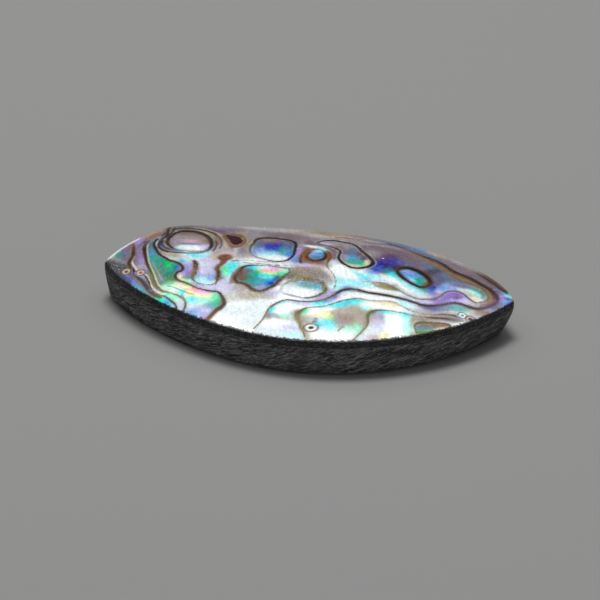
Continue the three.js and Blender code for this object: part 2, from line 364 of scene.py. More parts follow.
# zones of one colour family between the lines, each with its own flashes of colour:
# a flash is paint, place and reach in mm, with a second reach and a turn in degrees if it is drawn out
zones = {
    # the dark greys and smokes along the back edge are partly painted shade: the back of the dome laid darker
    # where it mirrors no light
    "wholeStone": {
        "outline": [(-27, -14), (27, -14), (27, 14), (-27, 14)], "soft": 0.1, "ground": "ash",
        "flashes": [
            ("dusk", -19, 8.6, 1.5), ("ash", -13.6, 9.3, 2.2, 0.8, 20),
            ("smoke", -16.9, 8.4, 1.8, 0.8, 20), ("smoke", -14.6, 8.7, 1.2, 0.5, 15),
            ("smoke", -14.8, 8.3, 1.2, 0.5, 10), ("plum", -13, 8.2, 1.2, 0.5, -15),
            ("ash", -7.3, 9.4, 2.4, 0.9), ("pearl", -8.6, 10, 1, 0.3), ("ash", -8.7, 8, 1.5, 0.7),
            ("dusk", -11, 8.6, 1.3, 0.7, 10), ("pearl", -5.6, 9.9, 2.2, 0.5),
            ("dusk", -5.2, 8.3, 1.6, 0.7), ("mauve", -3, 8.2, 1.7, 0.8), ("stone", -1.6, 9.6, 1.9, 0.9),
            ("olive", 0.6, 10.2, 1.5, 0.5, -5), ("pearl", -0.4, 9.2, 0.9, 0.4),
            ("sand", 2.6, 9.9, 2.2, 0.6, -5), ("mauve", 5.4, 10, 2.4, 0.6, -8),
            ("pearl", 5, 9.5, 1.8, 0.3, -5), ("slate", 9.4, 9.7, 2, 0.6, -15),
            ("azure", 12.4, 8.9, 1.3, 0.45, -22), ("slate", 11.4, 8.6, 1.2, 0.6, -22),
            ("sand", 14.6, 8.2, 1.7, 0.6, -28), ("pearl", 17.2, 6.9, 1.4, 0.5, -32),
            ("dusk", 16.1, 7.2, 1, 0.6, -32), ("mauve", 18, 5.8, 1.6, 0.9, -35),
            ("stone", 19.7, 5.1, 1.2, 0.5, -38), ("umber", 20.9, 4.3, 1.1, 0.5, -38),
            ("dusk", 20, 4, 1.3, 0.8, -38), ("umber", 22.2, 3, 1.2, 0.5, -42),
            ("mauve", 22.2, 1.9, 0.9, 0.8, -45), ("smoke", 23.7, 1.5, 0.6, 0.5, -45),
            ("slate", 14, 7.1, 1.5, 0.5, -30),
        ],
    },
    "tip": {
        "outline": [*stretch("tipSeam", 0, 14), (-15.5, -9), (-27, -8), (-27, 6), (-22.4, 7)],
        "soft": 0.12, "ground": "ash",
        "flashes": [
            ("jade", -24, 1.6, 0.7), ("lagoon", -23.2, 1.3, 0.7), ("mauve", -22.6, 1.9, 0.5, 0.9),
            ("violet", -23, 2.2, 0.35, 0.7), ("mauve", -22.3, 3.6, 0.5, 1.1, -8),
            ("dusk", -22.4, 0.7, 0.4, 0.6), ("ash", -24.1, 0.5, 0.7),
            ("coal", -24.5, -0.1, 0.7, 0.4, -20), ("smoke", -23.9, -0.5, 0.7, 0.3, -30),
            ("moss", -23.4, -0.4, 0.4, 0.2, -30), ("coal", -23.1, -1.3, 0.9, 0.3, -38),
            ("smoke", -22.5, -1.2, 0.7, 0.3, -35), ("pine", -22.9, -1, 0.4, 0.15, -35),
            ("blue", -22, -2.9, 0.7, 0.25, -40), ("plum", -21.4, -2.3, 0.5, 0.2, -40),
            ("blue", -21.1, -3.7, 0.8, 0.25, -42), ("azure", -20.5, -4.3, 0.7, 0.2, -42),
            ("navy", -20.7, -3, 0.9, 0.25, -42), ("dusk", -20.1, -3.6, 0.7, 0.2, -42),
            ("slate", -20, -4.5, 0.8, 0.35, -42), ("aqua", -19.4, -5.4, 0.8, 0.4, -42),
            ("dusk", -19, -4.6, 0.6, 0.25, -42), ("moss", -18.2, -6.2, 0.9, 0.5, -40),
            ("frost", -21.5, -3.5, 0.16, 0.1, -42), ("pearl", -17, -7.3, 1, 0.5, -35),
        ],
    },
    "bandZone": {
        "outline": [
            *stretch("tipSeam", 0, 12), (-17.6, -5.9), (-17.2, -5.4), *stretch("bandSeam", 10, 0),
            (-19.2, 5), (-18.7, 7.6), (-18.8, 9.8), (-22.6, 9.4), (-23, 6),
        ],
        "soft": 0.12, "ground": "lilac",
        "flashes": [
            ("lilac", -21.6, 4.6, 0.45, 0.8, -15), ("mauve", -21.2, 3, 0.5, 0.9),
            ("maroon", -20.95, 3.9, 0.3, 0.9), ("mauve", -21, 1.3, 0.6, 0.9, 10),
            ("dusk", -21.1, -0.4, 0.6, 0.8, 15), ("lilac", -20.6, 0.2, 0.3, 0.9, 15),
            ("stone", -20.4, -1.5, 0.4, 0.5, 20), ("gold", -19.9, 7.3, 0.9, 0.6, 20),
            ("bronze", -20.3, 6.6, 0.7, 0.4, 30), ("gold", -21, 6.4, 0.6, 0.6, 30),
            ("bronze", -19.5, 8, 0.5, 0.4, 20), ("bronze", -19.8, 6.2, 0.7, 0.4, 20),
            ("sand", -20.6, 7.3, 0.4, 0.4), ("toffee", -20.4, 5.3, 0.7, 0.5),
            ("cream", -19.6, 8, 0.3, 0.3), ("dusk", -19.2, 7.4, 0.5, 0.9),
            ("smoke", -19.2, 8.4, 0.9, 0.6, 20), ("moss", -18.6, -3.4, 0.5, 0.9, 40),
            ("umber", -18.3, -4.2, 0.35, 0.8, 35), ("lilac", -21.2, 2.2, 0.2, 0.8),
        ],
    },
    "greenZone": {
        "outline": [
            *stretch("bandSeam", 0, 14), (-13.8, -6.9), (-13.2, -5.6), (-12.6, -5.2),
            *stretch("greatSeam", 17, 0),
        ],
        "soft": 0.12, "ground": "jade",
        "flashes": [
            ("slate", -20, 3.6, 0.5, 0.9), ("slate", -19.8, 2, 0.5, 0.8, 15),
            ("azure", -19.3, 1.5, 0.5, 0.6, 25), ("teal", -18.7, 0.8, 0.6, 0.7, 30),
            ("fern", -18.1, 0, 0.7, 0.7, 30), ("fern", -17.4, -0.8, 0.6, 0.8, 35),
            ("emerald", -17, -0.9, 0.3, 0.5, 35), ("fern", -16.6, -1.9, 0.6, 0.8, 30),
            ("blue", -15.7, -1.6, 0.4, 0.4), ("lagoon", -15.6, -2.2, 0.4, 0.4),
            ("lilac", -15.4, -1.7, 0.2, 0.4), ("pine", -16.2, -2.9, 0.7, 0.6),
            ("moss", -16.2, -3.8, 0.6, 0.6, 30), ("teal", -18.7, -0.8, 0.35, 0.9, 25),
            ("moss", -17.9, -2.3, 0.35, 0.8, 25), ("slate", -17.1, -3.7, 0.3, 0.6, 30),
            ("moss", -17.4, -4.3, 0.4, 0.5, 30), ("mint", -16.4, -5.2, 0.6, 0.4, -25),
            ("milkAndGlare", -15.3, -5.2, 0.8, 0.5, -25), ("cream", -14.6, -4.7, 0.8, 0.35, -20),
            ("cyan", -14.4, -5.7, 0.7, 0.3, -25), ("emerald", -15.9, -4.4, 0.5, 0.25, -30),
            ("lemon", -13.8, -5, 0.6, 0.2, -20),
        ],
    },
    "smallLobe": {
        "outline": [*stretch("innerLoop", 0, 5), (-15.2, -9.6), (-16.8, -8.2), (-17.6, -6.6)],
        "soft": 0.12, "ground": "azure",
        "flashes": [
            ("emerald", -16.8, -6.7, 0.5, 0.35, -30), ("cyan", -16.3, -6.95, 0.5, 0.3, -30),
            ("blue", -15.8, -7.3, 0.5, 0.35, -35), ("cyan", -15.4, -7.8, 0.5, 0.35, -40),
            ("lavender", -14.8, -8, 0.4, 0.5), ("frost", -15.2, -8.8, 0.6, 0.4, -30),
        ],
    },
    "loopGap": {
        "outline": [
            (-17, -6.15), *stretch("bandSeam", 12, 16), (-13.7, -9.2), (-14.4, -8.9), (-14.5, -7.9),
            *stretch("innerLoop", 3, 1),
        ],
        "soft": 0.1, "ground": "mint",
        "flashes": [
            ("mint", -15.4, -6.5, 0.6, 0.3, -30), ("frost", -14.3, -7.3, 0.4, 0.5),
            ("lavender", -14, -8.4, 0.3, 0.6),
        ],
    },
    "frostZone": {
        "outline": [
            *stretch("greatSeam", 0, 20), (-10, -5.5), (-8.9, -4.4), (-8.9, -2), (-8.2, -0.6), (-9, 1),
            (-9, 3), (-10.6, 6), (-13, 8), (-15.5, 8.2), (-17.6, 7.8), (-18.6, 6),
        ],
        "soft": 0.12, "ground": "frost",
        "flashes": [
            ("dusk", -18.3, 2.2, 0.7, 0.5, -40), ("dusk", -16.9, 2.1, 0.8, 0.3, -15),
            ("sand", -17.4, 1.25, 0.9, 0.25, -32), ("khaki", -16.2, 0.9, 1, 0.3, -15),
            ("frost", -15, 0.6, 1, 0.5, -10), ("aqua", -15.3, 0, 0.5, 0.3, -20),
            ("cyan", -14, 1.2, 0.8, 0.3), ("ice", -13.4, 1.7, 0.8, 0.45),
            ("lilac", -14.2, -1.5, 0.35, 0.7), ("violet", -14.1, -2.4, 0.35, 0.6),
            ("periwinkle", -14.6, -1.2, 0.35, 0.5), ("moss", -14, -3.3, 0.5, 0.3),
            ("mint", -13.8, -3.9, 0.6, 0.25, -15), ("cream", -15.15, -3.3, 0.22, 0.35),
            ("lilac", -14.9, -2.3, 0.3, 0.4), ("lemon", -14.6, -3.9, 0.5, 0.22, -20),
            ("lavender", -12.1, -1.6, 0.8, 1.2), ("frost", -12.6, -0.5, 0.5, 0.5),
            ("lavender", -11.3, -0.6, 0.7, 0.9), ("azure", -12.9, -2.9, 0.5, 0.4),
            ("ice", -12.4, -3.5, 0.8, 0.35, -20), ("lilac", -12.8, -4.5, 0.9, 0.22, -22),
            ("lavender", -11.6, -5, 0.7, 0.22, -15), ("azure", -11.4, -2.9, 0.5, 0.5),
            ("emerald", -9.8, -1.3, 0.5, 0.5), ("cyan", -9, -0.4, 0.6, 0.5), ("cyan", -9, -1.9, 0.5, 0.6),
            ("mint", -9.6, -2.4, 0.4, 0.4), ("mauve", -9.9, -3, 0.5, 0.4),
            ("lavender", -9.5, -3.9, 0.6, 0.5), ("frost", -9, -3, 0.4, 0.5),
            ("aqua", -9.3, -5.2, 0.6, 0.3), ("ash", -8.8, -5.6, 0.5, 0.4),
            ("lavender", -10.3, -4.9, 0.5, 0.3), ("sand", -11.6, 1.2, 0.6, 0.9),
            ("lavender", -12.3, 0.4, 0.7, 0.4), ("ash", -11.3, 3, 0.5, 1.3, -5),
            ("dusk", -12, 5, 0.6, 1.2, -15), ("smoke", -13.4, 7.9, 1.2, 0.4, -25),
            ("dusk", -11.6, 7, 0.8, 0.8), ("ash", -10, 3.2, 0.6, 0.6), ("blush", -9.3, 2, 0.6, 0.6),
            ("bronze", -9.4, 3.6, 0.6, 0.5), ("blush", -10.8, 2.6, 0.6, 0.5),
            ("dusk", -18.2, 7, 0.4, 0.9), ("smoke", -18.7, 4.2, 0.3, 0.9, 10),
            ("smoke", -16.5, 8, 1.4, 0.3, 10), ("dusk", -12.2, 8, 0.8, 0.4, -20),
            ("ash", -10.6, 8.1, 0.7, 0.4),
        ],
    },
    "roseZone": {
        "outline": [
            (-13.7, -5), *stretch("greatSeam", 17, 27), (-10.6, -11), (-13.2, -10.4), (-13.8, -9.2),
            (-13.45, -8), (-13.65, -7.2), (-14, -6.2),
        ],
        "soft": 0.12, "ground": "frost",
        "flashes": [
            ("peach", -13.5, -5.2, 0.4, 0.4), ("rose", -12.6, -5.4, 0.7, 0.3, -20),
            ("orchid", -11.7, -5.8, 0.7, 0.3, -15), ("lemon", -12.9, -6, 0.6, 0.3, -15),
            ("lemon", -11.5, -6.3, 0.9, 0.3, -10), ("emerald", -10.1, -6.6, 0.6, 0.4, -20),
            ("pine", -9.2, -7.1, 0.3, 0.5), ("jade", -9.5, -6.8, 0.4, 0.5),
            ("mint", -11.6, -7, 0.7, 0.35), ("cyan", -12.8, -7, 0.5, 0.4),
            ("teal", -10.3, -7.9, 0.6, 0.5), ("jade", -9.6, -7.8, 0.4, 0.4),
            ("azure", -12.3, -8.9, 0.9, 0.6), ("lavender", -11, -8.7, 0.8, 0.5),
            ("frost", -12.6, -8, 0.6, 0.5), ("lilac", -10.5, -9.6, 0.6, 0.5),
        ],
    },
    # the whites of this front zone are partly painted reflection: the glare of the light on the front of the
    # dome
    "grainZone": {
        "outline": [
            (-9.3, -4.6), (-8.4, -4), (-7.3, -3.9), (-6.2, -4.8), (-5.2, -5.2), (-4, -4.5), (-2.6, -3.7),
            (-2.6, -4.6), (-2, -5.3), (-0.9, -5.6), (0.9, -5.7), (1.4, -6.1),
            *stretch("longSeam", 45, 52), (-4.6, -12), (-10.5, -11.4), (-10.2, -10), (-9.6, -8.6),
            (-8.9, -7.6), (-9.3, -6.2), (-10, -5.6), (-10, -5),
        ],
        "soft": 0.15, "ground": "milkAndGlare",
        "flashes": [
            ("lavender", -8.9, -5, 0.8, 0.5, -20), ("ash", -7.7, -4.9, 1, 0.5),
            ("stone", -6.5, -5.9, 1.2, 0.6), ("khaki", -5.6, -5.9, 1, 0.5), ("ash", -4, -5.6, 0.8, 0.5),
            ("lavender", -3.4, -5.2, 0.5, 0.4), ("milkAndGlare", -1.9, -5.5, 0.6, 0.3),
            ("frost", -7.2, -8.5, 1.2, 0.6), ("pearl", -8.1, -6.3, 0.7, 0.6),
            ("frost", -5.1, -9.3, 0.8, 1), ("frost", -4.6, -7.4, 0.9, 0.7),
        ],
    },
    # the whites of this front zone are partly painted reflection: the glare of the light on the front of the
    # dome
    "frontLobe": {
        "outline": [
            *stretch("longSeam", 45, 52), (-4.6, -12.5), *stretch("pocketSeam", 8, 1), (0.9, -7.35),
            (1.3, -6.9), (1.4, -6.2), (0.3, -6.3),
        ],
        "soft": 0.12, "ground": "frost",
        "flashes": [
            ("cyan", -2.95, -7.9, 0.3, 0.5, -15), ("aqua", -3.05, -8.2, 0.15, 0.4, -15),
            ("cyan", -2.2, -6.95, 0.6, 0.15, 20), ("milkAndGlare", -1.2, -7.4, 1.1, 0.5),
            ("milkAndGlare", -2, -8.1, 0.5, 0.4), ("dusk", -3.15, -9.1, 0.3, 0.4),
            ("ash", -2.4, -9, 0.6, 0.25, -10), ("mint", -1.3, -8.9, 0.8, 0.2),
            ("pearl", -0.5, -9.2, 0.8, 0.3), ("milkAndGlare", -2.4, -10.1, 1.1, 0.5),
            ("lavender", -0.2, -10.6, 0.9, 0.22, -8), ("frost", -0.9, -11.3, 1.4, 0.4),
            ("ice", 0, -11.5, 0.8, 0.25), ("frost", 0.3, -10, 0.5, 0.4), ("olive", 0, -8.4, 0.15, 0.5),
            ("stone", -0.3, -8.3, 0.3, 0.5), ("lavender", 0.3, -6.8, 0.9, 0.2),
            ("milkAndGlare", 0, -7.3, 0.6, 0.3),
        ],
    },
    # the whites of this zone are partly painted reflection: the glare of the light on the front of the dome
    "streamZone": {
        "outline": [*stretch("longSeam", 43, 21), (24, -4), (20, -5.4), *stretch("streamSeam", 20, 0)],
        "soft": 0.12, "ground": "frost",
        "flashes": [
            ("cyan", 2.5, -6.25, 0.6, 0.22, 20), ("azure", 3.3, -5.75, 0.5, 0.25, 30),
            ("blue", 4.2, -4.9, 0.35, 0.22, 45), ("lavender", 4.9, -4.5, 0.5, 0.4, 40),
            ("milkAndGlare", 5.4, -4.7, 0.7, 0.3, 25), ("frost", 5.6, -4, 0.8, 0.4, 20),
            ("slate", 5.8, -3.45, 0.8, 0.12), ("milkAndGlare", 8.2, -4.1, 1.8, 0.3),
            ("milkAndGlare", 10.6, -4, 1.3, 0.25), ("ice", 12.4, -4.4, 0.9, 0.35, -15),
            ("frost", 13.4, -4.8, 0.9, 0.35, -12), ("plum", 14.9, -4.6, 0.8, 0.3),
            ("indigo", 16, -4.5, 0.7, 0.35, 15), ("slate", 16.8, -4.5, 0.6, 0.35, 15),
            ("slate", 17.4, -3.9, 0.6, 0.4, 15), ("teal", 18.4, -3.7, 0.7, 0.35),
            ("teal", 19.5, -3.6, 0.6, 0.3), ("dusk", 17.6, -4.9, 0.8, 0.2, 12),
            ("ash", 15, -5.2, 1.2, 0.25), ("pearl", 17.6, -4.7, 0.9, 0.2, 10),
            ("toffee", 21.2, -3.5, 0.7, 0.35, 30), ("dusk", 20.9, -2.9, 0.7, 0.25, 20),
            ("rust", 22.3, -3.2, 0.5, 0.25, 30), ("pearl", 20.3, -3.9, 0.6, 0.4, 20),
        ],
    },
    # the whites of this front zone are partly painted reflection: the glare of the light on the front of the
    # dome
    "apron": {
        "outline": [
            *stretch("pocketSeam", 0, 7), (2, -12.8), (7.4, -12.4), *stretch("apronSeam", 1, 11),
            (13.2, -6), *stretch("streamSeam", 14, 1),
        ],
        "soft": 0.12, "ground": "stone",
        "flashes": [
            ("cyan", 6.5, -5.4, 0.9, 0.28, 8), ("aqua", 5.7, -5.7, 0.5, 0.2, 25),
            ("cyan", 4.8, -6.25, 0.8, 0.3, 15), ("ice", 3.2, -6.75, 0.8, 0.2, 18),
            ("emerald", 0.95, -7.75, 0.3, 0.4), ("milkAndGlare", 2.1, -7.75, 0.8, 0.5, 10),
            ("cream", 2.6, -8.35, 0.6, 0.3), ("lemon", 3.45, -7.95, 0.35, 0.6),
            ("lime", 4.15, -8.35, 0.35, 0.3), ("milkAndGlare", 3.7, -7.1, 0.6, 0.2, 10),
            ("stone", 5.2, -7.4, 0.7, 0.6), ("ash", 5, -8.6, 0.6, 0.5), ("stone", 6.4, -7.3, 0.9, 0.7),
            ("toffee", 6.2, -8.1, 1, 0.6), ("stone", 7.4, -8.2, 0.7, 0.9), ("ash", 5.9, -9.1, 0.6, 0.5),
            ("khaki", 7.5, -7, 0.6, 0.4), ("cyan", 4, -9.25, 0.6, 0.45), ("ice", 3, -9.1, 0.6, 0.3),
            ("cyan", 2.8, -9.6, 0.35, 0.4), ("ice", 4.3, -10.1, 0.7, 0.5), ("milkAndGlare", 3.9, -11, 1.4, 0.6),
            ("milkAndGlare", 5.6, -11, 1.2, 0.6), ("mint", 6.3, -9.75, 0.5, 0.4),
            ("mint", 7.5, -9.6, 0.4, 0.7, 20), ("milkAndGlare", 6.6, -10.6, 0.8, 0.6),
            ("stone", 1.6, -11.2, 0.5, 0.7), ("milkAndGlare", 2.8, -11.3, 0.6, 0.5),
            ("milkAndGlare", 8.2, -5.5, 0.7, 0.4), ("cream", 10.5, -5.1, 1, 0.3), ("milkAndGlare", 9.6, -5.6, 1, 0.35),
            ("milkAndGlare", 11.8, -5.6, 0.9, 0.3), ("ice", 12.9, -5.7, 0.5, 0.2), ("ice", 8, -6.1, 0.4, 0.4),
        ],
    },
    # the whites of this front zone are partly painted reflection: the glare of the light on the front of the
    # dome
    "rightApron": {
        "outline": [
            (7.4, -12.4), *stretch("apronSeam", 1, 11), *stretch("streamSeam", 14, 20), (20, -5.4),
            (22, -6), (17, -12), (8, -14),
        ],
        "soft": 0.12, "ground": "frost",
        "flashes": [
            ("olive", 8.95, -6.7, 0.2, 0.4), ("aqua", 9.5, -6.45, 0.5, 0.22),
            ("cyan", 10.6, -6.4, 0.7, 0.2), ("cyan", 12.8, -6.4, 0.6, 0.25), ("ash", 9.3, -7.4, 0.4, 0.7),
            ("lavender", 9.8, -8.1, 0.5, 0.7), ("slate", 10.05, -7.5, 0.3, 0.5, 10),
            ("frost", 9.5, -9.3, 0.7, 0.7), ("cream", 10.9, -9.8, 0.5, 0.4),
            ("lemon", 10.6, -10.1, 0.4, 0.25, 20), ("milkAndGlare", 11.6, -7.6, 1, 0.9),
            ("milkAndGlare", 12.2, -9, 1, 0.8), ("blush", 9.7, -10.4, 0.5, 0.3, 20), ("ice", 13, -7.5, 0.35, 0.8),
            ("mint", 13.3, -8.5, 0.4, 0.6), ("khaki", 13.9, -7, 0.4, 0.7),
            ("olive", 15, -6.6, 0.9, 0.25, 12), ("khaki", 14.3, -6.6, 0.5, 0.3),
            ("stone", 15, -6.2, 1.2, 0.25, 5), ("toffee", 16.4, -6, 1.2, 0.2, 12),
            ("dusk", 17.6, -5.6, 1, 0.25, 14), ("stone", 16, -5.75, 1, 0.15, 8),
            ("mauve", 18.6, -5.5, 0.7, 0.3, 15), ("milkAndGlare", 19.2, -6.1, 0.9, 0.2, 32),
            ("khaki", 14.4, -8.8, 0.7, 0.3, 20), ("ash", 17, -8.3, 1.5, 0.5, 30),
        ],
    },
    # the whites in the front and middle of this zone are partly painted reflection: the glare of the light on
    # the dome
    "centreZone": {
        "outline": [
            (-8.2, -0.6), (-7.3, -0.2), (-5, 0), (-2.5, -0.1), (-1.9, -0.5), (-2.2, -1.6), (-3, -3.1),
            (-2.5, -3.7), (-1.5, -2.6), (0, -2), (1.9, -2.2), (2.8, -3.1), (2.7, -4.1), (1.75, -5.2),
            (0.6, -5.8), *stretch("longSeam", 43, 31), (13, -3.4), *stretch("waveSeam", 7, 4), (11, -0.2),
            (11, 1), (10.5, 2.6), (8.5, 4), (7.4, 5), (6, 5.8), (5, 7.2), (3, 8.3), (0.6, 7.8),
            (-0.6, 6.6), (-1.6, 6.8), (-2.2, 5), (-2.2, 3), (-2.8, 1.4), (-4.1, 0.9), (-6.5, 1.5),
            (-8, 2.6), (-8.6, 4.4), (-9.6, 3.6), (-9, 1.2),
        ],
        "soft": 0.25, "ground": "frost",
        "flashes": [
            ("periwinkle", -1.7, 5.5, 0.5, 1), ("slate", -1.6, 6.6, 0.6, 0.5),
            ("periwinkle", -1.75, 3.9, 0.5, 1), ("azure", -1.8, 2.1, 0.4, 0.7),
            ("milkAndGlare", -0.2, 5.7, 1, 0.35, -12), ("ice", 1.2, 5.2, 0.7, 0.3, -20),
            ("mauve", -0.4, 6.7, 0.8, 0.5), ("mauve", 0.5, 1.4, 0.8, 0.4),
            ("lavender", -0.3, 0.9, 1, 0.35), ("ash", -0.2, 0.4, 0.9, 0.25),
            ("lavender", -2.6, 0.9, 0.8, 0.3), ("milkAndGlare", -7.4, 0.8, 0.9, 0.5),
            ("milkAndGlare", -5.2, 0.8, 1.1, 0.45), ("milkAndGlare", -3.2, 0.75, 0.9, 0.4),
            ("frost", -1.8, 0.8, 0.6, 0.4), ("ice", -8.2, 0.3, 0.6, 0.3), ("stone", -8, 1.7, 0.8, 0.6),
            ("dusk", -8.4, 3, 0.5, 1), ("toffee", -0.9, -0.4, 1.1, 0.5), ("toffee", 0.6, -0.4, 1.3, 0.5),
            ("olive", -1.1, -1.3, 0.8, 0.6), ("umber", -1.8, -1.9, 0.4, 0.7, 30),
            ("dusk", 1.2, -1, 0.9, 0.4), ("bronze", -0.2, -1.6, 0.8, 0.3), ("mauve", 1.4, -1.3, 0.9, 0.5),
            ("khaki", 0.2, -1.5, 0.9, 0.3), ("ash", 2.5, -1.9, 0.6, 0.5), ("milkAndGlare", 3.7, 0.6, 0.9, 0.8),
            ("milkAndGlare", 5, -0.4, 0.9, 0.6), ("cyan", 5.8, 0.4, 0.7, 0.25, -35),
            ("cyan", 6.8, -0.4, 0.7, 0.25, -30), ("azure", 5.2, -2.9, 0.5, 0.25, 20),
            ("ice", 4.2, -2.9, 0.5, 0.4), ("ice", 7.7, 0.1, 0.8, 0.3, -20),
            ("azure", 7.2, 0.9, 0.6, 0.3, -20), ("ice", 6.3, -1.9, 1, 0.6), ("ice", 4.6, -1.6, 0.7, 0.6),
            ("milkAndGlare", 9.9, 0.2, 1, 0.25, -30), ("milkAndGlare", 8.4, -2.9, 1.6, 0.28),
            ("lilac", 3.3, -4.4, 0.5, 0.6, 30), ("lilac", 2.6, -5.3, 0.5, 0.4, 20),
            ("blue", 8, 1.8, 0.6, 0.7), ("periwinkle", 7.9, 0.9, 0.6, 0.4, -20),
            ("milkAndGlare", 3.4, 1.7, 0.7, 0.6, 40), ("milkAndGlare", 4.6, 0.7, 1, 0.6), ("milkAndGlare", 6.2, 1, 0.8, 0.4),
            ("frost", 5.6, 0.9, 0.9, 0.3),
        ],
    },
    "headZone": {
        "outline": [
            (-2.3, 6.7), (-1, 7.3), (0.1, 6.9), (1, 6.3), (2.9, 5.7), (3.3, 4.6), (3.3, 3), (3.9, 2.1),
            (2.8, 1.1), (1.4, 0.5), (-1.4, 0.6), (-2.3, 1.6), (-2.2, 3), (-2.2, 5),
        ],
        "soft": 0.4, "ground": "mauve",
        "flashes": [
            ("ash", -1.8, 5.6, 0.4, 0.9), ("lilac", -1.8, 4, 0.4, 1), ("azure", -1.8, 2.2, 0.4, 0.6),
            ("bronze", -0.95, 3.5, 0.35, 1.2), ("toffee", 1.95, 3.6, 0.3, 1.1),
            ("milkAndGlare", -0.3, 5.6, 0.8, 0.22, -5), ("ice", 1, 5.25, 0.6, 0.18, -25),
            ("mauve", -0.5, 6.6, 0.9, 0.5), ("mauve", 2.4, 5.4, 0.7, 0.4), ("toffee", 0.5, 1.5, 0.9, 0.3),
            ("lavender", -0.4, 0.9, 0.9, 0.3), ("blush", 1, 1, 0.6, 0.3), ("mauve", 2.7, 4, 0.4, 0.9),
            ("frost", 2.8, 2, 0.5, 0.5), ("milkAndGlare", 3.4, 1.4, 0.4, 0.4),
        ],
    },
    "rustSpot": {
        "outline": [
            (-11.3, 1.15), (-10.95, 1.7), (-10.3, 2), (-9.7, 1.9), (-9.35, 1.4), (-9.35, 0.9),
            (-9.8, 0.55), (-10.1, -0.1), (-10.65, -0.3), (-10.75, 0.4), (-11.2, 0.7),
        ],
        "soft": 0.22, "ground": "bronze",
        "flashes": [
            ("rust", -10.5, 1.2, 0.6, 0.5), ("bronze", -9.7, 1.6, 0.4, 0.4),
            ("umber", -10.4, 0.1, 0.3, 0.4),
        ],
    },
    "shadeZone": {
        "outline": [
            (5.2, 7.4), (5.8, 6), (6.5, 5.1), (7.2, 4.2), (7.6, 3.3), (7.5, 2.2), (7.2, 1.6), (8, 1),
            (9, 0.2), (9.8, -0.4), (11, -1.2), (12, -2.3), (13.2, -3), (14.4, -3.1), (15.4, -2.8),
            (16.2, -1.9), (16.7, -1), (17, 0.4), (18.6, 1), (20, 1.2), (20.6, 1.8), (19, 2.7),
            (17.4, 3.4), (16.2, 4.2), (14.6, 5.6), (12.4, 6.9), (10, 7.6), (7, 8),
        ],
        "soft": 0.3, "ground": "mauve",
        "flashes": [
            ("ash", 7.2, 5.6, 0.8, 0.8), ("mauve", 7.9, 6.6, 1, 0.6, -15),
            ("dusk", 9.4, 6.8, 1.2, 0.5, -15), ("plum", 9.2, 5, 1, 0.8), ("indigo", 9.7, 3.9, 1, 0.9),
            ("slate", 11.2, 4, 0.8, 0.6, -25), ("navy", 10.3, 2.7, 0.4, 0.5, 30),
            ("indigo", 8.7, 2.8, 0.8, 0.7), ("navy", 9.3, 3.2, 0.5, 0.6), ("blue", 8.1, 1.9, 0.5, 0.6),
            ("lagoon", 9.4, 1.6, 0.5, 0.5), ("cyan", 10.1, 0.8, 0.5, 0.4, -40),
            ("cyan", 11.2, -0.1, 0.9, 0.22, -42), ("cyan", 12.6, -1.1, 0.7, 0.22, -25),
            ("milkAndGlare", 11.4, -0.9, 1.3, 0.6, -35), ("ice", 12.2, -1.2, 0.8, 0.3, -30),
            ("milkAndGlare", 12.6, -2, 1, 0.5, -20), ("ice", 13.6, -1.9, 0.7, 0.4, -10),
            ("teal", 14.4, -1.5, 0.6, 0.4), ("blue", 15.3, -1.2, 0.5, 0.6),
            ("milkAndGlare", 10.2, -0.3, 1, 0.4, -30), ("frost", 14.3, -2.6, 0.9, 0.5),
            ("lilac", 15.5, -2.2, 0.6, 0.4), ("slate", 14, 4.4, 1.3, 0.7, -35),
            ("slate", 16.3, 2.2, 0.9, 0.9, -35), ("smoke", 15.2, 3.2, 0.6, 1, -40),
            ("dusk", 12, 5, 1.4, 0.7, -25), ("mauve", 11.8, 5.9, 1.6, 0.4, -28),
            ("slate", 16.5, 0.4, 0.8, 0.6, -30), ("slate", 17.6, 1.2, 1, 0.5, -25),
            ("slate", 18.8, 0.9, 1, 0.4, -20), ("plum", 15.8, 1.2, 0.4, 0.8, 10),
            ("slate", 16.2, 0.9, 0.6, 0.6), ("dusk", 17.2, 1.9, 0.6, 0.4, -30),
        ],
    },
    "swirlZone": {
        "outline": [
            *stretch("waveSeam", 7, 19), (20.9, -2.2), (21.6, -2.5), *stretch("longSeam", 22, 31),
            (12, -3.3),
        ],
        "soft": 0.1, "ground": "lavender",
        "flashes": [
            ("violet", 18, -1.5, 0.7, 0.5), ("violet", 17, -2.4, 0.6, 0.5, 30),
            ("violet", 16.1, -3.1, 0.6, 0.4, 25), ("plum", 18.3, -1.9, 0.5, 0.2, 15),
            ("lavender", 14.6, -3.6, 0.9, 0.3), ("lavender", 19.5, -2.2, 0.6, 0.4),
            ("periwinkle", 17.7, -2.5, 0.5, 0.25, 20), ("stone", 20.6, -2.5, 0.6, 0.3),
            ("frost", 13.3, -3.6, 0.6, 0.3),
        ],
    },
    "leafZone": {
        "outline": [
            (7.9, -1.25), *stretch("waveSeam", 2, 5), (11.75, -2.4), (11, -2.35),
            *stretch("lensUnder", 3, 1),
        ],
        "soft": 0.08, "ground": "khaki",
        "flashes": [
            ("olive", 10.6, -1.8, 0.6, 0.3, -25), ("khaki", 9.6, -1.7, 0.7, 0.3, -15),
            ("stone", 8.6, -1.4, 0.5, 0.2, -20),
        ],
    },
    "lobeZone": {
        "outline": [
            (17.6, 1.3), (18.8, 1.2), (19.8, 1), (20.8, 0.8), (21.4, 0.3), (21.9, -0.5), (21.8, -1.2),
            (21.3, -1.7), (20.6, -2), *stretch("waveSeam", 18, 14), (16.3, -2), (15.7, -1.4), (16, -0.2),
            (16.6, 0.8),
        ],
        "soft": 0.3, "ground": "lavender",
        "flashes": [
